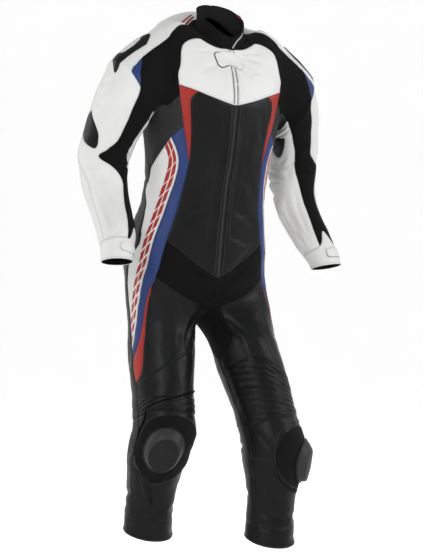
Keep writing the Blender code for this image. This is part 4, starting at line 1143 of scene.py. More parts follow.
# Cords, bindings and ribbons: name, domain, sides, stops, radius in mm, flatness, height in mm, slot, finish
CORDS = [
    # the knee piping's near-black finish is partly the cord's own colour and partly painted shadow under it
    ("knee_piping", "L", (-1,), [(-74, 3.02), (-20, 3.25), (29, 3.50), (56, 3.66), (68, 3.86), (76, 4.25),
                                 (90, 4.75), (93, 5.30), (91, 5.95)], 3.2, 0.8, 0.6, "charcoal_leather",
     "piping"),
    ("knee_piping_fold", "L", (-1,), [(-74, 3.26), (-20, 3.46), (24, 3.68), (50, 3.80)], 2.4, 0.7, 0.0,
     "charcoal_leather", "charcoal_plain"),
    ("collar_rim", "C", (1, -1), [(0, 0.97), (45, 0.97), (90, 0.97), (135, 0.97), (180, 0.97)], 2.1,
     1.0, -0.6, "black_stretch", "collar"),
    ("flap_binding", "T", (-1,), [(17.5, 11.42), (20.6, 11.06), (13.5, 10.50), (8, 10.06), (2.4, 10.34)],
     1.3, 0.8, 0.9, "black_stretch", "piping"),
    ("flap_edge", "T", (-1,), [(2.2, 10.35), (-1.0, 10.33), (-3.6, 9.96), (-6.5, 10.22), (-9.5, 10.90),
                               (-7.5, 11.42), (-3.0, 11.68), (2.0, 11.76), (9, 11.74), (16, 11.52)],
     0.6, 0.8, 0.9, "white_leather", "thread_grey"),
    ("zip_lip", "T", (1, -1), [(2.7, 7.86), (2.9, 6.5), (3.0, 5), (2.8, 3), (2.5, 2.0)], 1.6, 0.8, 0.5,
     "charcoal_leather", "charcoal_plain"),
    ("collar_ribbon", "C", (1,), [(2, 0.14), (8, 0.40), (20, 0.70), (46, 0.80)], 2.1, 0.30, 0.2,
     "black_stretch", "ribbon_grey"),
    ("collar_tab", "C", (1,), [(100, 0.99), (108, 0.99), (116, 0.99)], 3.0, 1.0, -0.6, "red_leather",
     "red_plain"),
    ("shoulder_bar_front", "T", (-1,), [(116, 11.60), (134, 11.65), (154, 11.67)], 2.7, 0.7, 0.4,
     "red_leather", "red_plain"),
    ("shoulder_bar_rear", "T", (-1,), [(120, 11.46), (138, 11.53), (156, 11.54)], 2.3, 0.7, 0.4,
     "red_leather", "red_plain"),
    ("hem_fold", "L", (1, -1), [(-90, 9.93), (0, 9.93), (90, 9.93), (180, 9.93), (270, 9.93)], 1.3, 0.8,
     0.2, "charcoal_leather", "charcoal_plain"),
    ("cuff_fold", "S", (1, -1), [(-180, 10.93), (-90, 10.93), (0, 10.93), (90, 10.93), (180, 10.93)],
     1.1, 0.8, 0.2, "white_leather", "white_plain"),
    ("base_binding", "L", (1, -1), BASE_OUTLINE, 1.5, 0.7, 0.8, "charcoal_leather", "charcoal_plain"),
    ("tab_binding", "S", (1,), SLEEVE_SEAMS["tab"], 0.7, 0.7, 1.6, "white_leather", "piping"),
    ("tab_binding", "S", (-1,), SLEEVE_SEAMS["tab"], 0.7, 0.7, 1.6, "white_leather", "thread_grey"),
]
CORD_STEP = 0.003
# Sewn lines inside a panel: domain, sides, stops
SEWN = [
    ("L", (-1,), [(46, 6.55), (37, 7.4), (28, 8.15), (26, 8.85)]),
    ("L", (1,), [(46, 7.3), (42, 8.0), (40, 8.85)]),
    ("L", (1, -1), [(-64, 5.75), (-66, 7.2), (-66, 9.0)]),
    ("L", (1, -1), [(180, 4.4), (184, 6.5), (180, 9.1)]),
    ("T", (1, -1), [(122, 8.3), (130, 6.5), (126, 4.9), (118, 3.92)]),
    ("S", (1, -1), [(122, 0.9), (134, 3.2), (128, 5.6), (136, 9.8)]),
]
PUCK_CENTRE, PUCK_HALF = (36, 5.56), (37, 0.97)
PUCK_SIDES, PUCK_FLOOR = 64, 0.0019
CHAMFER_RINGS = range(4, 10)   # rings of the puck's stepped chamfer, counted from its foot, which are painted lighter as a painted highlight
GUARD_DROP = {1: 0.25, -1: 0.0}     # rows that each knee's slider has slipped down
INSERT_FLOOR = 0.0042
CUP_CENTRE = (80, 0.95)
INSERT_OUTLINE = [(74, 0.72), (82, 0.50), (95, 0.46), (97, 0.80), (86, 1.06), (76, 0.98), (74, 0.72)]
INSERT_CENTRE = (85, 0.76)
# Rise in mm and width left at each step outward of a moulded piece
SLIDER_STEPS = [(2.4, 1.0, 0), (0.9, 0.985, 0), (0.9, 0.965, 0), (-0.5, 0.985, 0), (0.0, 0.985, 0),
                (0.7, 0.985, 0), (3.2, 0.93, -2.2), (3.4, 0.925, -2.2), (3.2, 0.92, -2.0),
                (0.9, 0.965, -0.6), (0.25, 0.97, 0), (0.10, 0.93, 0), (-0.5, 0.985, 0), (0.0, 0.975, 0),
                (0.5, 0.985, 0), (0.3, 0.80, 0), (0.2, 0.72, 0), (0.1, 0.60, 0), (0.05, 0.4, 0)]
BASE_CENTRE = (28, 5.5)
BASE_STEPS = [(1.1, 1.0), (0.3, 0.985), (0.1, 0.975), (-0.25, 0.985), (0.0, 0.96), (0, 0.9), (0, 0.9),
              (0, 0.88), (0, 0.86), (0, 0.84), (0, 0.8), (0, 0.75), (0, 0.65), (0, 0.5)]
FLAP_OUTLINE = [(9, 11.72), (16, 11.50), (20.5, 11.06), (13.5, 10.52), (8, 10.08), (2.4, 10.36),
                (-1.0, 10.34), (-3.6, 9.98), (-6.4, 10.24), (-9.4, 10.90), (-7.4, 11.40), (-3.0, 11.66),
                (2.0, 11.74), (9, 11.72)]
FLAP_CENTRE = (5, 11.0)
FLAP_STEPS = [(1.0, 1.0), (0.35, 0.96), (0.1, 0.95), (0, 0.9), (0, 0.85), (0, 0.8), (0, 0.7), (0, 0.5)]
CUP_STEPS = [(2.0, 1.0), (0.8, 0.97), (0.2, 0.94), (-0.5, 0.96), (0.0, 0.97), (0.9, 0.95), (1.0, 0.85),
             (0.5, 0.75), (0.3, 0.6), (0.1, 0.4)]
INSERT_STEPS = [(0.9, 1.0), (0.5, 0.94), (0.5, 0.8), (0.2, 0.65), (0.1, 0.4)]
STITCH_IN = 0.0028             # from the edge of a panel to its topstitching
STITCH_SIZE, TOOTH_SIZE = (0.00145, 0.00042, 0.00040), (0.00065, 0.00125, 0.00060)
TOOTH_PITCH, TOOTH_SHIFT, TOOTH_END = 0.0025, 0.0011, 0.001


def trail(kind, side, stops, step, lift=0.0):
    """Points and normals along a line on the suit."""
    spots = [suit().at(kind, side, a, v) for a, v in seam_points(kind, stops, step)]
    p, n = np.array([s[0] for s in spots]), np.array([s[1] for s in spots])
    return p + n * lift, n


def cord_mesh(p, n, radius, flat, sides=8):
    """A cord along p, pressed towards the surface and closed at both ends."""
    t = unit(np.gradient(p, axis=0))
    b = unit(np.cross(n, t))
    m = np.cross(t, b)
    turns = np.arange(sides) * 2 * pi / sides
    thin = np.ones(len(p))
    thin[[0, -1]] = 0.6
    ring = p[:, None] + radius * thin[:, None, None] * (
        np.cos(turns)[:, None] * b[:, None] + flat * np.sin(turns)[:, None] * m[:, None])
    at = lambda i, k: i * sides + k % sides
    faces = [(at(i, k), at(i, k + 1), at(i + 1, k + 1), at(i + 1, k))
             for i in range(len(p) - 1) for k in range(sides)]
    faces.append(tuple(reversed(range(sides))))
    faces.append(tuple(at(len(p) - 1, k) for k in range(sides)))
    return ring.reshape(-1, 3), faces


def add_piece(obj, slot, material=None, replaced=None):
    if material:
        obj.data.materials.append(material)
    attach(obj, BODY)
    if replaced:
        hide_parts(replaced)
    made[obj.name] = obj


def make_cords():
    for name, kind, sides, stops, radius, flat, lift, slot, finish in CORDS:
        for side in sides:
            p, n = trail(kind, side, stops, CORD_STEP, lift * MM)
            verts, faces = cord_mesh(p, n, radius * MM, flat)
            obj = new_object(name + SUFFIX[side], verts, faces)
            finish_mesh(obj, 60)
            add_piece(obj, slot, materials()[finish])


def flat_disc(name, outline, centre, kind):
    """A flat disc cut to an outline given in degrees and rows, left in edit mode."""
    rows, run = run_length(kind)
    bpy.ops.object.select_all(action="DESELECT")
    bpy.ops.mesh.primitive_circle_add(vertices=len(outline), radius=0.03, fill_type="NGON")
    obj = bpy.context.object
    obj.name = name
    for vertex, (a, v) in zip(obj.data.vertices, outline):
        vertex.co.x = (a - centre[0]) * ROUND[kind]
        vertex.co.y = np.interp(centre[1], rows, run) - np.interp(v, rows, run)
    bpy.ops.object.mode_set(mode="EDIT")
    bpy.ops.mesh.select_mode(type="FACE")
    bpy.ops.mesh.select_all(action="SELECT")
    return obj


def step_out(steps):
    """Extrude the selected face step by step, drawing it in and letting it drift up or down the piece."""
    middle = 0.0
    for rise, share, *drift in steps:
        lift = (0, drift[0] * MM if drift else 0, rise * MM)
        middle += lift[1]
        bpy.ops.mesh.extrude_region_move(TRANSFORM_OT_translate={"value": lift})
        bpy.ops.transform.resize(value=(share, share, 1), center_override=(0, middle, 0))


def pick_faces(obj, test):
    bpy.ops.mesh.select_all(action="DESELECT")
    bpy.ops.object.mode_set(mode="OBJECT")
    for face in obj.data.polygons:
        face.select = bool(test(face))
    bpy.ops.object.mode_set(mode="EDIT")


def mould(name, kind, side, outline, centre, steps, floor, level=0.0):
    """A moulded or bound piece shaped flat and then laid on the suit."""
    obj = flat_disc(name, outline, centre, kind)
    step_out(steps)
    pick_faces(obj, lambda f: abs(f.normal.z) > 0.9 and abs(f.center.z) < 1e-6)
    step_out([(0, share) for share in (0.9, 0.89, 0.87, 0.85, 0.82, 0.8, 0.75, 0.65, 0.5)])
    bpy.ops.object.mode_set(mode="OBJECT")
    top = max(v.co.z for v in obj.data.vertices)
    rows, run = run_length(kind)
    middle, up = suit().at(kind, side, *centre)
    start = np.interp(centre[1], rows, run)
    for vertex in obj.data.vertices:
        x, y, z = vertex.co
        p, n = suit().at(kind, side, centre[0] + x / ROUND[kind], float(np.interp(start - y, run, rows)))
        stand = min(1.0, max(0.0, z / top - 0.15) / 0.75)
        drop = max(0.0, float((middle - p) @ up))
        lean = n * (1 - 0.7 * level * stand) + up * 0.7 * level * stand
        vertex.co = p + lean / np.linalg.norm(lean) * (floor + z) + up * level * stand * drop * 0.5
    bpy.ops.object.mode_set(mode="EDIT")
    bpy.ops.mesh.select_all(action="SELECT")
    bpy.ops.mesh.normals_make_consistent(inside=False)
    bpy.ops.object.mode_set(mode="OBJECT")
    obj.data.transform(obj.matrix_basis)
    obj.matrix_basis = Matrix.Identity(4)
    finish_mesh(obj, 32)
    return obj


def corners(kind, points, step, drop=0.0):
    """Points round a moulded piece, in angles and rows."""
    return [(a, v + drop) for a, v in seam_points(kind, points, step)[:-1]]


def make_slider(side):
    """Knee slider: a puck with a stepped chamfer, wide above and narrow below, and a darker oval face; the
    chamfer rings are painted lighter as a painted highlight.
    """
    centre = (PUCK_CENTRE[0], PUCK_CENTRE[1] + GUARD_DROP[side])
    outline = oval(centre, PUCK_HALF, PUCK_SIDES)[:-1]
    obj = mould("knee_slider_puck" + SUFFIX[side], "L", side, outline, centre, SLIDER_STEPS, PUCK_FLOOR, 1.0)
    obj.data.materials.append(materials()["slider"])
    obj.data.materials.append(materials()["slider_chamfer_highlight"])
    for face in obj.data.polygons:                      # the rings are numbered from the rim inwards
        face.material_index = int(min(face.vertices) // PUCK_SIDES in CHAMFER_RINGS)
    add_piece(obj, "slider_plastic", replaced="knee_slider" + SUFFIX[side])


def make_base(side):
    """Hook-and-loop field round a slider, wrapped over the front and outside of the knee."""
    outline = corners("L", BASE_OUTLINE, 0.006, GUARD_DROP[side])
    centre = (BASE_CENTRE[0], BASE_CENTRE[1] + GUARD_DROP[side])
    obj = mould("slider_base_field" + SUFFIX[side], "L", side, outline, centre, BASE_STEPS, LAID_GAP)
    add_piece(obj, "loop_fabric", materials()["pile"], "slider_base" + SUFFIX[side])


def make_flap():
    """Throat flap that closes over the top of the zip."""
    outline = corners("T", FLAP_OUTLINE, 0.003)
    obj = mould("throat_flap_cloth", "T", -1, outline, FLAP_CENTRE, FLAP_STEPS, LAID_GAP)
    add_piece(obj, "white_leather", materials()["white"], "throat_flap")


def make_cup(side):
    """Hard shoulder cup with a pale plate let into it."""
    outline = corners("S", SLEEVE_SEAMS["cup"], 0.0045)
    cup = mould("shoulder_cup_shell" + SUFFIX[side], "S", side, outline, CUP_CENTRE, CUP_STEPS, LAID_GAP)
    add_piece(cup, "slider_plastic", materials()["cup"], "shoulder_cup" + SUFFIX[side])
    outline = corners("S", INSERT_OUTLINE, 0.004)
    insert = mould("shoulder_cup_insert" + SUFFIX[side], "S", side, outline, INSERT_CENTRE, INSERT_STEPS,
                   INSERT_FLOOR)
    add_piece(insert, "slider_plastic", materials()["cup_insert"])


def run_of(p):
    """Distance along a line at each of its points."""
    return np.concatenate([[0], np.cumsum(np.linalg.norm(np.diff(p, axis=0), axis=1))])


def places_along(p, n, spots):
    """Centre, direction and normal at given distances along a line."""
    run = run_of(p)
    mix = lambda x: np.column_stack([np.interp(spots, run, x[:, k]) for k in range(3)])
    c = mix(p)
    return c, unit(np.gradient(c, axis=0)), unit(mix(n))


def stitch_places(p, n, closed=False):
    """Centre, direction and normal of each stitch along a line, or nothing on a very short one."""
    if closed:
        p, n = np.concatenate([p, p[:1]]), np.concatenate([n, n[:1]])
    pitch = suit_sizes().stitch_pitch
    count = int(run_of(p)[-1] / pitch)
    if count < 3:
        return None
    return places_along(p, n, (np.arange(count) + 0.5) * pitch)


def keep_thread(thread, side, places):
    made.setdefault("thread", {}).setdefault((thread, side), []).append(places)


def sew_border(verts, tris, border, thread, side):
    """Topstitching all round a panel, a little in from its edge."""
    outer = BVHTree.FromPolygons(verts.tolist(), tris.tolist())
    pull = inward_at(verts, facing(verts, tris), border)
    edge_tree = point_tree([q for (i, j), _ in border for q in (verts[i], (verts[i] + verts[j]) / 2)])
    for loop in loops_of(border):
        p, n = [], []
        for i in loop:
            if i not in pull:
                continue
            direction, lean = pull[i]
            q = verts[i] + direction * (STITCH_IN / max(lean, 0.5))
            spot, normal, _, _ = outer.find_nearest(q)
            if edge_tree.find(spot)[2] > 0.65 * STITCH_IN:
                p.append(spot)
                n.append(normal)
        if len(p) > 3:
            found = stitch_places(np.array(p), np.array(n), True)
            if found:
                keep = np.array([edge_tree.find(c)[2] > 0.65 * STITCH_IN for c in found[0]])
                keep_thread(thread, side, [x[keep] for x in found])


def sew_lines():
    """Two rows of stitches along every sewn line inside a panel."""
    for kind, sides, stops in SEWN:
        for side in sides:
            p, n = trail(kind, side, stops, 0.006)
            t = unit(np.gradient(p, axis=0))
            across = np.cross(n, t) * STITCH_IN
            for way in (1, -1):
                found = stitch_places(p + across * way, n)
                if found:
                    keep_thread("white" if kind == "S" else "dark", side, found)


def scatter(name, template, places, slot, material):
    """One mesh of many copies of a small shape."""
    shape = np.array([v.co for v in template.data.vertices])
    faces = np.array([f.vertices for f in template.data.polygons])
    c, t, n = [np.concatenate(x) for x in zip(*places)]
    b = unit(np.cross(n, t))
    verts = c[:, None] + shape @ np.stack([t, b, np.cross(t, b)], axis=1)
    all_faces = faces[None] + (np.arange(len(c)) * len(shape))[:, None, None]
    obj = new_object(name, verts.reshape(-1, 3), all_faces.reshape(-1, faces.shape[1]))
    add_piece(obj, slot, material)
    return obj


def small_shape(size, kind):
    """A bead of thread or a zip tooth, to be copied."""
    bpy.ops.object.select_all(action="DESELECT")
    if kind == "stitch":
        bpy.ops.mesh.primitive_uv_sphere_add(segments=4, ring_count=2, radius=1)
    else:
        bpy.ops.mesh.primitive_cube_add(size=2)
    bpy.ops.object.mode_set(mode="EDIT")
    bpy.ops.mesh.select_all(action="SELECT")
    bpy.ops.mesh.quads_convert_to_tris()
    bpy.ops.transform.resize(value=size)
    bpy.ops.object.mode_set(mode="OBJECT")
    return bpy.context.object


def make_thread():
    stitch = small_shape(STITCH_SIZE, "stitch")
    for (thread, side), places in made["thread"].items():
        slot = {"white": "white_leather", "dark": "charcoal_leather"}[thread]
        scatter("stitching_" + thread + SUFFIX[side], stitch, places, slot, materials()["thread_" + thread])
    bpy.data.objects.remove(stitch)


def make_teeth():
    """Two rows of teeth that meet along the zip below the yoke."""
    tooth = small_shape(TOOTH_SIZE, "tooth")
    p, n = trail("T", 1, [(0, 7.94), (0, 6), (0, 4), (0, 1.86)], 0.004, 0.0002)
    end = run_of(p)[-1] - TOOTH_END
    places = []
    for k, shift in enumerate((TOOTH_SHIFT, -TOOTH_SHIFT)):
        c, t, m = places_along(p, n, np.arange(k * TOOTH_PITCH / 2 + TOOTH_END, end, TOOTH_PITCH))
        places.append([c + np.cross(m, t) * shift, t, m])
    scatter("zip_teeth", tooth, places, "zip_tape", materials()["teeth"])
    bpy.data.objects.remove(tooth)


# Node materials ---------------------------------------------------------------------------------

BAR_PITCH, BAR_SLANT = 0.034, 1.3
BAR_BAND, BAR_SPLIT = (0.0055, 0.0270), (0.0145, 0.0170)     # from the seam: the bars, the gap in them
RIB_PITCH, EYELET_PITCH = 0.0072, 0.0050


def start_material(name):
    material = bpy.data.materials.new(name)
    material.use_nodes = True
    tree = material.node_tree
    return material, tree, tree.nodes["Principled BSDF"]


def set_inputs(tree, target, values):
    """Link sockets to a node's inputs, or set plain values on them."""
    for key, value in values.items():
        if isinstance(value, bpy.types.NodeSocket):
            tree.links.new(value, target.inputs[key])
        else:
            target.inputs[key].default_value = value


def node(tree, kind, values=(), **settings):
    made_node = tree.nodes.new(kind)
    for key, value in settings.items():
        setattr(made_node, key, value)
    set_inputs(tree, made_node, dict(values))
    return made_node


def maths(tree, operation, first, second=0.0, third=0.0, clamp=False):
    n = node(tree, "ShaderNodeMath", {0: first, 1: second, 2: third}, operation=operation, use_clamp=clamp)
    return n.outputs[0]


def mix_colour(tree, factor, first, second):
    n = node(tree, "ShaderNodeMix", {0: factor, 6: first, 7: second}, data_type="RGBA")
    return n.outputs[2]


def surface_point(tree):
    return node(tree, "ShaderNodeTexCoord").outputs["Object"]


def cut_axes(tree):
    """Distances across and down the cut of a panel."""
    uv = node(tree, "ShaderNodeUVMap", uv_map="UVMap").outputs[0]
    return node(tree, "ShaderNodeSeparateXYZ", {0: uv}).outputs


def attribute(tree, name):
    return node(tree, "ShaderNodeAttribute", attribute_name=name).outputs["Fac"]


def speckle(tree, here, scale, detail=2.0):
    return node(tree, "ShaderNodeTexNoise", {"Vector": here, "Scale": scale, "Detail": detail}).outputs[0]


def bump(tree, height, distance, strength, under=None):
    values = {"Height": height, "Distance": distance, "Strength": strength}
    if under is not None:
        values["Normal"] = under
    return node(tree, "ShaderNodeBump", values).outputs[0]


def tint(colour, factor, lift=0.0):
    """A colour made darker or lighter."""
    return [min(1, c * factor + lift) for c in colour[:3]] + [1]


def leather(name, colour, rough, tone, stripe=None, shine=0.24):
    """Tanned hide: uneven tone, fine pebbled grain, pores, seam edges darkened partly as a dark joint and
    partly as painted shade, and painted shade in the rib valleys.
    """
    material, tree, shader = start_material(name)
    here = surface_point(tree)
    blotch = speckle(tree, here, 9.0, 4.0)
    pore = speckle(tree, here, 420.0)
    pebble = node(tree, "ShaderNodeTexVoronoi", {"Vector": here, "Scale": 620.0},
                  feature="DISTANCE_TO_EDGE").outputs["Distance"]
    patch = maths(tree, "MULTIPLY_ADD", blotch, 2.0, -0.5, clamp=True)
    paint = mix_colour(tree, patch, tint(colour, 1 - tone), tint(colour, 1 + tone))
    if stripe:
        paint = stripe(tree, here, paint)
    # painted shade: darker beside every seam (partly the seam's own dark joint) and in the valleys of the
    # accordion ribs
    for layer, share in (("seam", 0.45), ("valley", 0.6)):
        dark_seam_and_shade = maths(tree, "MULTIPLY", attribute(tree, layer), share)
        paint = mix_colour(tree, dark_seam_and_shade, paint, tint(colour, 0.30))
    gloss = maths(tree, "MULTIPLY_ADD", blotch, 0.16, rough - 0.08)
    gloss = maths(tree, "MULTIPLY_ADD", pore, 0.08, gloss)
    relief = maths(tree, "MULTIPLY_ADD", pore, 0.35, maths(tree, "MULTIPLY", pebble, 3.2, clamp=True))
    grain = bump(tree, relief, 0.0001, 0.7)
    wrinkle = speckle(tree, here, 70.0, 3.0)
    set_inputs(tree, shader, {"Base Color": paint, "Roughness": gloss, "Specular IOR Level": shine,
                              "Normal": bump(tree, wrinkle, 0.0012, 0.35, grain)})
    return material


def weave(name, colour, thread, pitch=0.0011):
    """Close-woven or knitted stretch cloth, in lines that follow the cut of the panel."""
    material, tree, shader = start_material(name)
    cut = cut_axes(tree)
    across, down = [maths(tree, "SINE", maths(tree, "MULTIPLY", cut[k], 2 * pi / pitch)) for k in (0, 1)]
    knit = maths(tree, "MULTIPLY", across, down)
    paint = mix_colour(tree, maths(tree, "MULTIPLY_ADD", knit, 0.5, 0.5, clamp=True), colour, thread)
    blotch = speckle(tree, surface_point(tree), 14.0, 4.0)
    paint = mix_colour(tree, maths(tree, "MULTIPLY", blotch, 0.6), paint, tint(colour, 0.5))
    set_inputs(tree, shader, {"Base Color": paint, "Roughness": 0.85, "Specular IOR Level": 0.08,
                              "Sheen Weight": 0.01, "Sheen Roughness": 0.4,
                              "Normal": bump(tree, knit, 0.00025, 0.6)})
    return material


def ribbed_mesh(name, colour, thread):
    """Underarm stretch: slanting rows of small eyelets between ribs."""
    material, tree, shader = start_material(name)
    cut = cut_axes(tree)
    slant = maths(tree, "MULTIPLY_ADD", cut[0], 0.9, cut[1])
    along = maths(tree, "MULTIPLY_ADD", cut[1], -0.9, cut[0])
    rib = maths(tree, "SINE", maths(tree, "MULTIPLY", slant, 2 * pi / RIB_PITCH))
    hole = maths(tree, "SINE", maths(tree, "MULTIPLY", along, 2 * pi / EYELET_PITCH))
    dot = maths(tree, "MULTIPLY", maths(tree, "MAXIMUM", rib, 0.0), maths(tree, "MAXIMUM", hole, 0.0))
    paint = mix_colour(tree, maths(tree, "POWER", dot, 1.5), colour, thread)
    set_inputs(tree, shader, {"Base Color": paint, "Roughness": 0.6, "Specular IOR Level": 0.25,
                              "Normal": bump(tree, rib, 0.0011, 0.8)})
    return material


def plastic(name, colour, rough):
    """Moulded plastic with a fine skin and light scuffs."""
    material, tree, shader = start_material(name)
    here = surface_point(tree)
    stretched = node(tree, "ShaderNodeMapping", {"Vector": here, "Scale": (90.0, 90.0, 900.0),
                                                 "Rotation": (0.5, 0.3, 0.8)}).outputs[0]
    mark = maths(tree, "MULTIPLY_ADD", speckle(tree, stretched, 1.0, 3.0), 4.0, -2.3, clamp=True)
    paint = mix_colour(tree, maths(tree, "MULTIPLY", mark, 0.3), colour, tint(colour, 2.0, 0.01))
    set_inputs(tree, shader, {"Base Color": paint, "Specular IOR Level": 0.14,
                              "Roughness": maths(tree, "MULTIPLY_ADD", mark, 0.2, rough),
                              "Normal": bump(tree, speckle(tree, here, 700.0), 0.00012, 0.5)})
    return material


def loop_pile(name, colour):
    """Hook-and-loop base: fuzzy matt pile."""
    material, tree, shader = start_material(name)
    here = surface_point(tree)
    fuzz = speckle(tree, here, 900.0, 5.0)
    clump = node(tree, "ShaderNodeTexVoronoi", {"Vector": here, "Scale": 500.0}).outputs["Distance"]
    set_inputs(tree, shader, {"Base Color": mix_colour(tree, fuzz, colour, tint(colour, 2.2)),
                              "Roughness": 0.95, "Specular IOR Level": 0.1, "Sheen Weight": 0.02,
                              "Normal": bump(tree, maths(tree, "ADD", fuzz, clump), 0.0005, 0.8)})
    return material


def plain(name, colour, rough, metallic=0.0, shine=0.25):
    """Thread, cord and small trim: twisted fine texture."""
    material, tree, shader = start_material(name)
    twist = speckle(tree, surface_point(tree), 1500.0, 1.0)
    set_inputs(tree, shader, {"Base Color": mix_colour(tree, twist, tint(colour, 0.7), colour),
                              "Roughness": rough, "Specular IOR Level": shine, "Metallic": metallic,
                              "Normal": bump(tree, twist, 0.0001, 0.5)})
    return material


def between(tree, value, low, high):
    return maths(tree, "MULTIPLY", maths(tree, "GREATER_THAN", value, low),
                 maths(tree, "LESS_THAN", value, high))


def side_bars(tree, here, paint):
    """Graded slanting bars beside the blue stripe, printed in red."""
    off = attribute(tree, "stripe")
    z = node(tree, "ShaderNodeSeparateXYZ", {0: here}).outputs[2]
    lean = maths(tree, "MULTIPLY_ADD", off, BAR_SLANT, z)
    step = maths(tree, "FRACT", maths(tree, "MULTIPLY", lean, 1 / BAR_PITCH))
    bar = maths(tree, "LESS_THAN", step, maths(tree, "MULTIPLY_ADD", z, 0.62, 1.12, clamp=True))
    bars = maths(tree, "MULTIPLY", bar, between(tree, off, *BAR_BAND))
    cover = maths(tree, "MULTIPLY", bars, maths(tree, "SUBTRACT", 1.0, between(tree, off, *BAR_SPLIT)))
    return mix_colour(tree, cover, paint, tuple(suit_colours().red))


def zip_edges(tree, here, paint):
    """Dark edges of the white zip cover: partly dark edging, partly painted shade in the gap beside the zip.
    """
    return mix_colour(tree, maths(tree, "GREATER_THAN", attribute(tree, "piping"), 0.62), paint,
                      (0.10, 0.10, 0.10, 1))


def materials():
    """All finishes of the suit by name."""
    if "materials" not in made:
        c = suit_colours()
        white, charcoal, black = tuple(c.white), tuple(c.charcoal), tuple(c.black)
        made["materials"] = {
            "white": leather("white_leather", white, 0.42, stripe=zip_edges, tone=0.03),
            "white_bars": leather("white_leather_barred", white, 0.42, stripe=side_bars, tone=0.03),
            "charcoal": leather("charcoal_leather", charcoal, 0.33, tone=0.22, shine=0.10),
            "red": leather("red_leather", tuple(c.red), 0.42, tone=0.08),
            "blue": leather("blue_leather", tuple(c.blue), 0.42, tone=0.08),
            "stretch": weave("black_stretch_weave", black, (0.005, 0.005, 0.0053, 1)),
            "lining": weave("mesh_lining", (0.004, 0.004, 0.0045, 1), (0.018, 0.018, 0.018, 1),
                            pitch=0.0026),
            "collar": weave("collar_neoprene", black, (0.007, 0.007, 0.0075, 1), pitch=0.0009),
            "underarm": ribbed_mesh("underarm_ribbed", (0.004, 0.004, 0.0045, 1), (0.11, 0.11, 0.11, 1)),
            "tape": weave("zip_tape_weave", (0.014, 0.014, 0.015, 1), (0.03, 0.03, 0.03, 1), pitch=0.0012),
            "slider": plastic("slider_plastic", (0.006, 0.0062, 0.0065, 1), 0.50),
            # the chamfer plastic is lighter than the face as a painted highlight
            "slider_chamfer_highlight": plastic("slider_chamfer_painted_highlight", (0.020, 0.0205, 0.021, 1), 0.46),
            "cup": plastic("cup_plastic", (0.003, 0.003, 0.0033, 1), 0.42),
            "cup_insert": plastic("cup_insert_metal", (0.42, 0.43, 0.44, 1), 0.38),
            "pile": loop_pile("loop_pile", (0.0022, 0.0022, 0.0024, 1)),
            "thread_white": plain("white_thread", (0.70, 0.70, 0.68, 1), 0.6),
            "thread_dark": plain("dark_thread", (0.030, 0.030, 0.032, 1), 0.6),
            "thread_grey": plain("grey_edge", (0.30, 0.30, 0.30, 1), 0.6),
            "ribbon_grey": plain("grey_ribbon", (0.25, 0.25, 0.255, 1), 0.5),
            "red_plain": plain("red_trim", (0.26, 0.008, 0.012, 1), 0.5),
            "white_plain": plain("white_edge", white, 0.45),
            "charcoal_plain": plain("charcoal_edge", charcoal, 0.42),
            # near-black matt trim: partly its own colour, partly painted shadow under the knee piping
            "piping": plain("black_piping_and_painted_shade", (0.0010, 0.0010, 0.0011, 1), 0.70, shine=0.06),
            "teeth": plain("zip_teeth", (0.05, 0.05, 0.052, 1), 0.35, 0.6),
        }
    return made["materials"]


# Add-on ------------------------------------------------------------------------------------------


class RaceSuitSizes(bpy.types.PropertyGroup):
    seam_depth: bpy.props.FloatProperty(
        name="Seam depth", description="How deep the panels dip at a seam", default=SEAM_DEPTH,
        unit="LENGTH")
    rib_height: bpy.props.FloatProperty(
        name="Rib height", description="Rise of the accordion ribs above the knees", default=0.0024,
        unit="LENGTH")
    crease_strength: bpy.props.FloatProperty(
        name="Crease strength", description="Factor on the depth of every crease", default=1.9, min=0, max=3)
    stitch_pitch: bpy.props.FloatProperty(
        name="Stitch pitch", description="Distance from one stitch to the next", default=0.0042,
        unit="LENGTH")


def colour_property(name, description, default):
    return bpy.props.FloatVectorProperty(name=name, description=description, default=default, size=4,
                                         subtype="COLOR", min=0, max=1)


class RaceSuitColours(bpy.types.PropertyGroup):
    white: colour_property("White", "Yoke, sleeves and side panels", (0.475, 0.475, 0.47, 1))
    charcoal: colour_property("Charcoal", "Body and leg leather", (0.0045, 0.0047, 0.0050, 1))
    black: colour_property("Black", "Stretch bands and collar", (0.0022, 0.0022, 0.0024, 1))
    red: colour_property("Red", "Chest flashes, leg stripes and side bars", (0.235, 0.0115, 0.0075, 1))
    blue: colour_property("Blue", "Side stripes and shoulder diamonds", (0.0085, 0.0245, 0.108, 1))


class RACESUIT_OT_trunk(bpy.types.Operator):
    """Sew the panels of the trunk and collar"""
    bl_idname = "race_suit.trunk"
    bl_label = "Trunk panels"

    def execute(self, context):
        m = materials()
        for name in ("front_yoke", "back_yoke"):
            make_panel(name, m["white"], thread="white")
        make_panel("white_side", m["white_bars"], thread="white")
        for name in ("front_body", "back", "seat"):
            make_panel(name, m["charcoal"], thread="dark")
        make_panel("chest_flash", m["red"], thread="dark")
        make_panel("blue_side", m["blue"], thread="dark")
        make_panel("side_stretch", m["underarm"])
        make_panel("groin", m["stretch"])
        make_panel("collar", m["collar"])
        return {"FINISHED"}


class RACESUIT_OT_sleeves(bpy.types.Operator):
    """Sew the panels of the sleeves"""
    bl_idname = "race_suit.sleeves"
    bl_label = "Sleeve panels"

    def execute(self, context):
        m = materials()
        for name in ("sleeve_outer", "sleeve_inner", "cuff", "cuff_tab"):
            make_panel(name, m["white"], thread="white")
        make_panel("stretch_band", m["stretch"])
        make_panel("diamond", m["blue"], thread="dark")
        make_panel("elbow_patch", m["charcoal"], thread="dark")
        return {"FINISHED"}


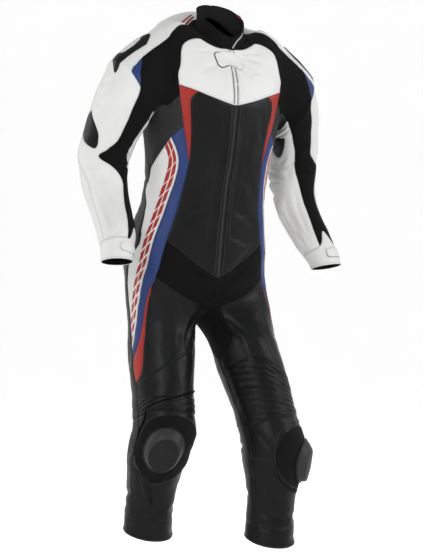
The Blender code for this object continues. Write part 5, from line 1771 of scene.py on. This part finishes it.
class RACESUIT_OT_legs(bpy.types.Operator):
    """Sew the panels of the legs"""
    bl_idname = "race_suit.legs"
    bl_label = "Leg panels"

    def execute(self, context):
        m = materials()
        for name in ("thigh_front", "thigh_back", "knee_stretch", "knee_panel", "shin", "calf", "hem_band"):
            make_panel(name, m["charcoal"], thread="dark")
        make_panel("inner_thigh", m["stretch"])
        make_panel("red_stripe", m["red"], thread="dark")
        return {"FINISHED"}


class RACESUIT_OT_trim(bpy.types.Operator):
    """Lay the zip, throat flap, shoulder cups and slider bases"""
    bl_idname = "race_suit.trim"
    bl_label = "Zip, flap, cups and bases"

    def execute(self, context):
        m = materials()
        vee = suit().at("T", 1, 0.5, 8.0)[0][2]
        make_panel("zip_strip", m["tape"], (m["white"], lambda c: c[:, 2] > vee))
        make_flap()
        for side in (1, -1):
            make_cup(side)
            make_base(side)
            make_slider(side)
        return {"FINISHED"}


class RACESUIT_OT_bindings(bpy.types.Operator):
    """Add the bindings, the zip teeth and all stitching"""
    bl_idname = "race_suit.bindings"
    bl_label = "Bindings and stitching"

    def execute(self, context):
        make_cords()
        make_teeth()
        sew_lines()
        make_thread()
        return {"FINISHED"}


class RACESUIT_OT_stage(bpy.types.Operator):
    """Set the pale floor, soft lights and camera"""
    bl_idname = "race_suit.stage"
    bl_label = "Studio"

    def execute(self, context):
        make_floor()
        make_lights()
        make_camera()
        return {"FINISHED"}


COVE_START, COVE_BEND, COVE_STEPS = 5.0, 12.0, 18
FLOOR_DROP = 0.085          # the hems end this far above the floor, as over a wearer's feet
CAMERA_TURN = -30.0         # degrees round from the front
CAMERA_ROLL = 1.2
CAMERA_RANGE = 4.8
CAMERA_AIM = Vector((0, 0.05, -0.62))
CAMERA_SIDESTEP = 0.017
CAMERA_LENS = 116.0


def make_floor():
    """Pale floor that curves up gently far out on every side, like a studio cove."""
    bpy.ops.object.select_all(action="DESELECT")
    level = CAD_BOX[0].z - FLOOR_DROP
    bpy.ops.mesh.primitive_circle_add(vertices=96, radius=COVE_START, fill_type="NGON",
                                      location=(0, 0, level))
    floor = bpy.context.object
    floor.name = "studio_floor"
    bpy.ops.object.mode_set(mode="EDIT")
    bpy.ops.mesh.select_mode(type="EDGE")
    bpy.ops.mesh.select_all(action="SELECT")
    radius = COVE_START
    for k in range(COVE_STEPS):
        before, after = (radians(90 * j / COVE_STEPS) for j in (k, k + 1))
        up = COVE_BEND * (cos(before) - cos(after))
        wider = radius + COVE_BEND * (sin(after) - sin(before))
        bpy.ops.mesh.extrude_edges_move(TRANSFORM_OT_translate={"value": (0, 0, up)})
        bpy.ops.transform.resize(value=(wider / radius, wider / radius, 1), center_override=(0, 0, 0))
        radius = wider
    bpy.ops.object.mode_set(mode="OBJECT")
    floor.data.transform(floor.matrix_basis)
    floor.matrix_basis = Matrix.Identity(4)
    finish_mesh(floor, 60)
    material, tree, shader = start_material("pale_floor")
    spots = speckle(tree, surface_point(tree), 3.0)
    paint = mix_colour(tree, spots, (0.93, 0.93, 0.925, 1), (0.96, 0.96, 0.96, 1))
    set_inputs(tree, shader, {"Base Color": paint, "Roughness": 0.9, "Specular IOR Level": 0.1,
                              "Emission Color": (1, 1, 1, 1), "Emission Strength": 0.36})
    floor.data.materials.append(material)


# Broad soft lights that reach the whole studio: name, direction they come from, softness, strength
SKY_LIGHTS = [
    ("fill", (-0.70, -0.68, 0.12), 50, 0.44),
    ("top", (0.1, 0.15, 1.0), 120, 0.60),
]
# Soft boxes near the suit for long highlights: name, place, width, height, power, aim
SOFT_BOXES = [
    ("strip_left", (-2.1, -1.6, 0.55), 0.20, 1.8, 44, (0, 0, -0.25)),
    ("strip_right", (2.2, -1.9, 0.75), 0.22, 1.8, 64, (0, 0, -0.25)),
    ("front_box", (-2.4, -2.6, 0.6), 0.8, 1.0, 16, (0.2, 0, -0.25)),
    ("rear_left", (-2.0, 2.4, 0.4), 0.8, 2.0, 26, (0, 0, -0.5)),
    ("rear_right", (2.2, 2.2, 0.4), 0.8, 2.0, 26, (0, 0, -0.5)),
]


def make_lights():
    for name, place, softness, strength in SKY_LIGHTS:
        data = bpy.data.lights.new(name, "SUN")
        data.angle, data.energy = radians(softness), strength
        light = bpy.data.objects.new(name, data)
        light.rotation_euler = Vector(place).to_track_quat("Z", "Y").to_euler()
        bpy.context.scene.collection.objects.link(light)
    for name, place, width, height, power, aim in SOFT_BOXES:
        data = bpy.data.lights.new(name, "AREA")
        data.shape, data.size, data.size_y, data.energy = "RECTANGLE", width, height, power
        light = bpy.data.objects.new(name, data)
        light.location = place
        light.rotation_euler = (Vector(aim) - Vector(place)).to_track_quat("-Z", "Y").to_euler()
        bpy.context.scene.collection.objects.link(light)
    world = bpy.data.worlds.new("studio_air")
    world.use_nodes = True
    world.node_tree.nodes["Background"].inputs[0].default_value = (1, 1, 1, 1)
    world.node_tree.nodes["Background"].inputs[1].default_value = 0.48
    bpy.context.scene.world = world
    bpy.context.scene.view_settings.view_transform = "Standard"
    bpy.context.scene.view_settings.exposure = -0.35


def make_camera():
    turn = radians(CAMERA_TURN)
    back = Vector((sin(turn), -cos(turn), 0))
    right = Vector((cos(turn), sin(turn), 0))
    data = bpy.data.cameras.new("camera")
    data.lens, data.sensor_width, data.sensor_fit = CAMERA_LENS, 36, "VERTICAL"
    data.sensor_height = 36
    camera = bpy.data.objects.new("camera", data)
    camera.location = CAMERA_AIM + right * CAMERA_SIDESTEP + back * CAMERA_RANGE
    facing_suit = Matrix((right, Vector((0, 0, 1)), back)).transposed()
    camera.matrix_basis = Matrix.Translation(camera.location) @ facing_suit.to_4x4() @ \
        Matrix.Rotation(radians(CAMERA_ROLL), 4, "Z")
    bpy.context.scene.collection.objects.link(camera)
    bpy.context.scene.camera = camera


class RACESUIT_PT_panel(bpy.types.Panel):
    """Sizes, colours and the steps that build the suit"""
    bl_idname = "RACESUIT_PT_panel"
    bl_label = "Race Suit"
    bl_space_type = "VIEW_3D"
    bl_region_type = "UI"
    bl_category = "Race Suit"

    def draw(self, context):
        for group in (context.scene.race_suit_sizes, context.scene.race_suit_colours):
            for name in group.__annotations__:
                self.layout.prop(group, name)
        for step in STEPS:
            self.layout.operator(step.bl_idname)


STEPS = (RACESUIT_OT_trunk, RACESUIT_OT_sleeves, RACESUIT_OT_legs, RACESUIT_OT_trim, RACESUIT_OT_bindings,
         RACESUIT_OT_stage)
CLASSES = (RaceSuitSizes, RaceSuitColours) + STEPS + (RACESUIT_PT_panel,)


def register():
    for cls in CLASSES:
        bpy.utils.register_class(cls)
    bpy.types.Scene.race_suit_sizes = bpy.props.PointerProperty(type=RaceSuitSizes)
    bpy.types.Scene.race_suit_colours = bpy.props.PointerProperty(type=RaceSuitColours)


def unregister():
    del bpy.types.Scene.race_suit_colours
    del bpy.types.Scene.race_suit_sizes
    for cls in reversed(CLASSES):
        bpy.utils.unregister_class(cls)


def main():
    register()
    for step in STEPS:
        group, call = step.bl_idname.split(".")
        getattr(getattr(bpy.ops, group), call)()


if __name__ == "__main__":
    main()
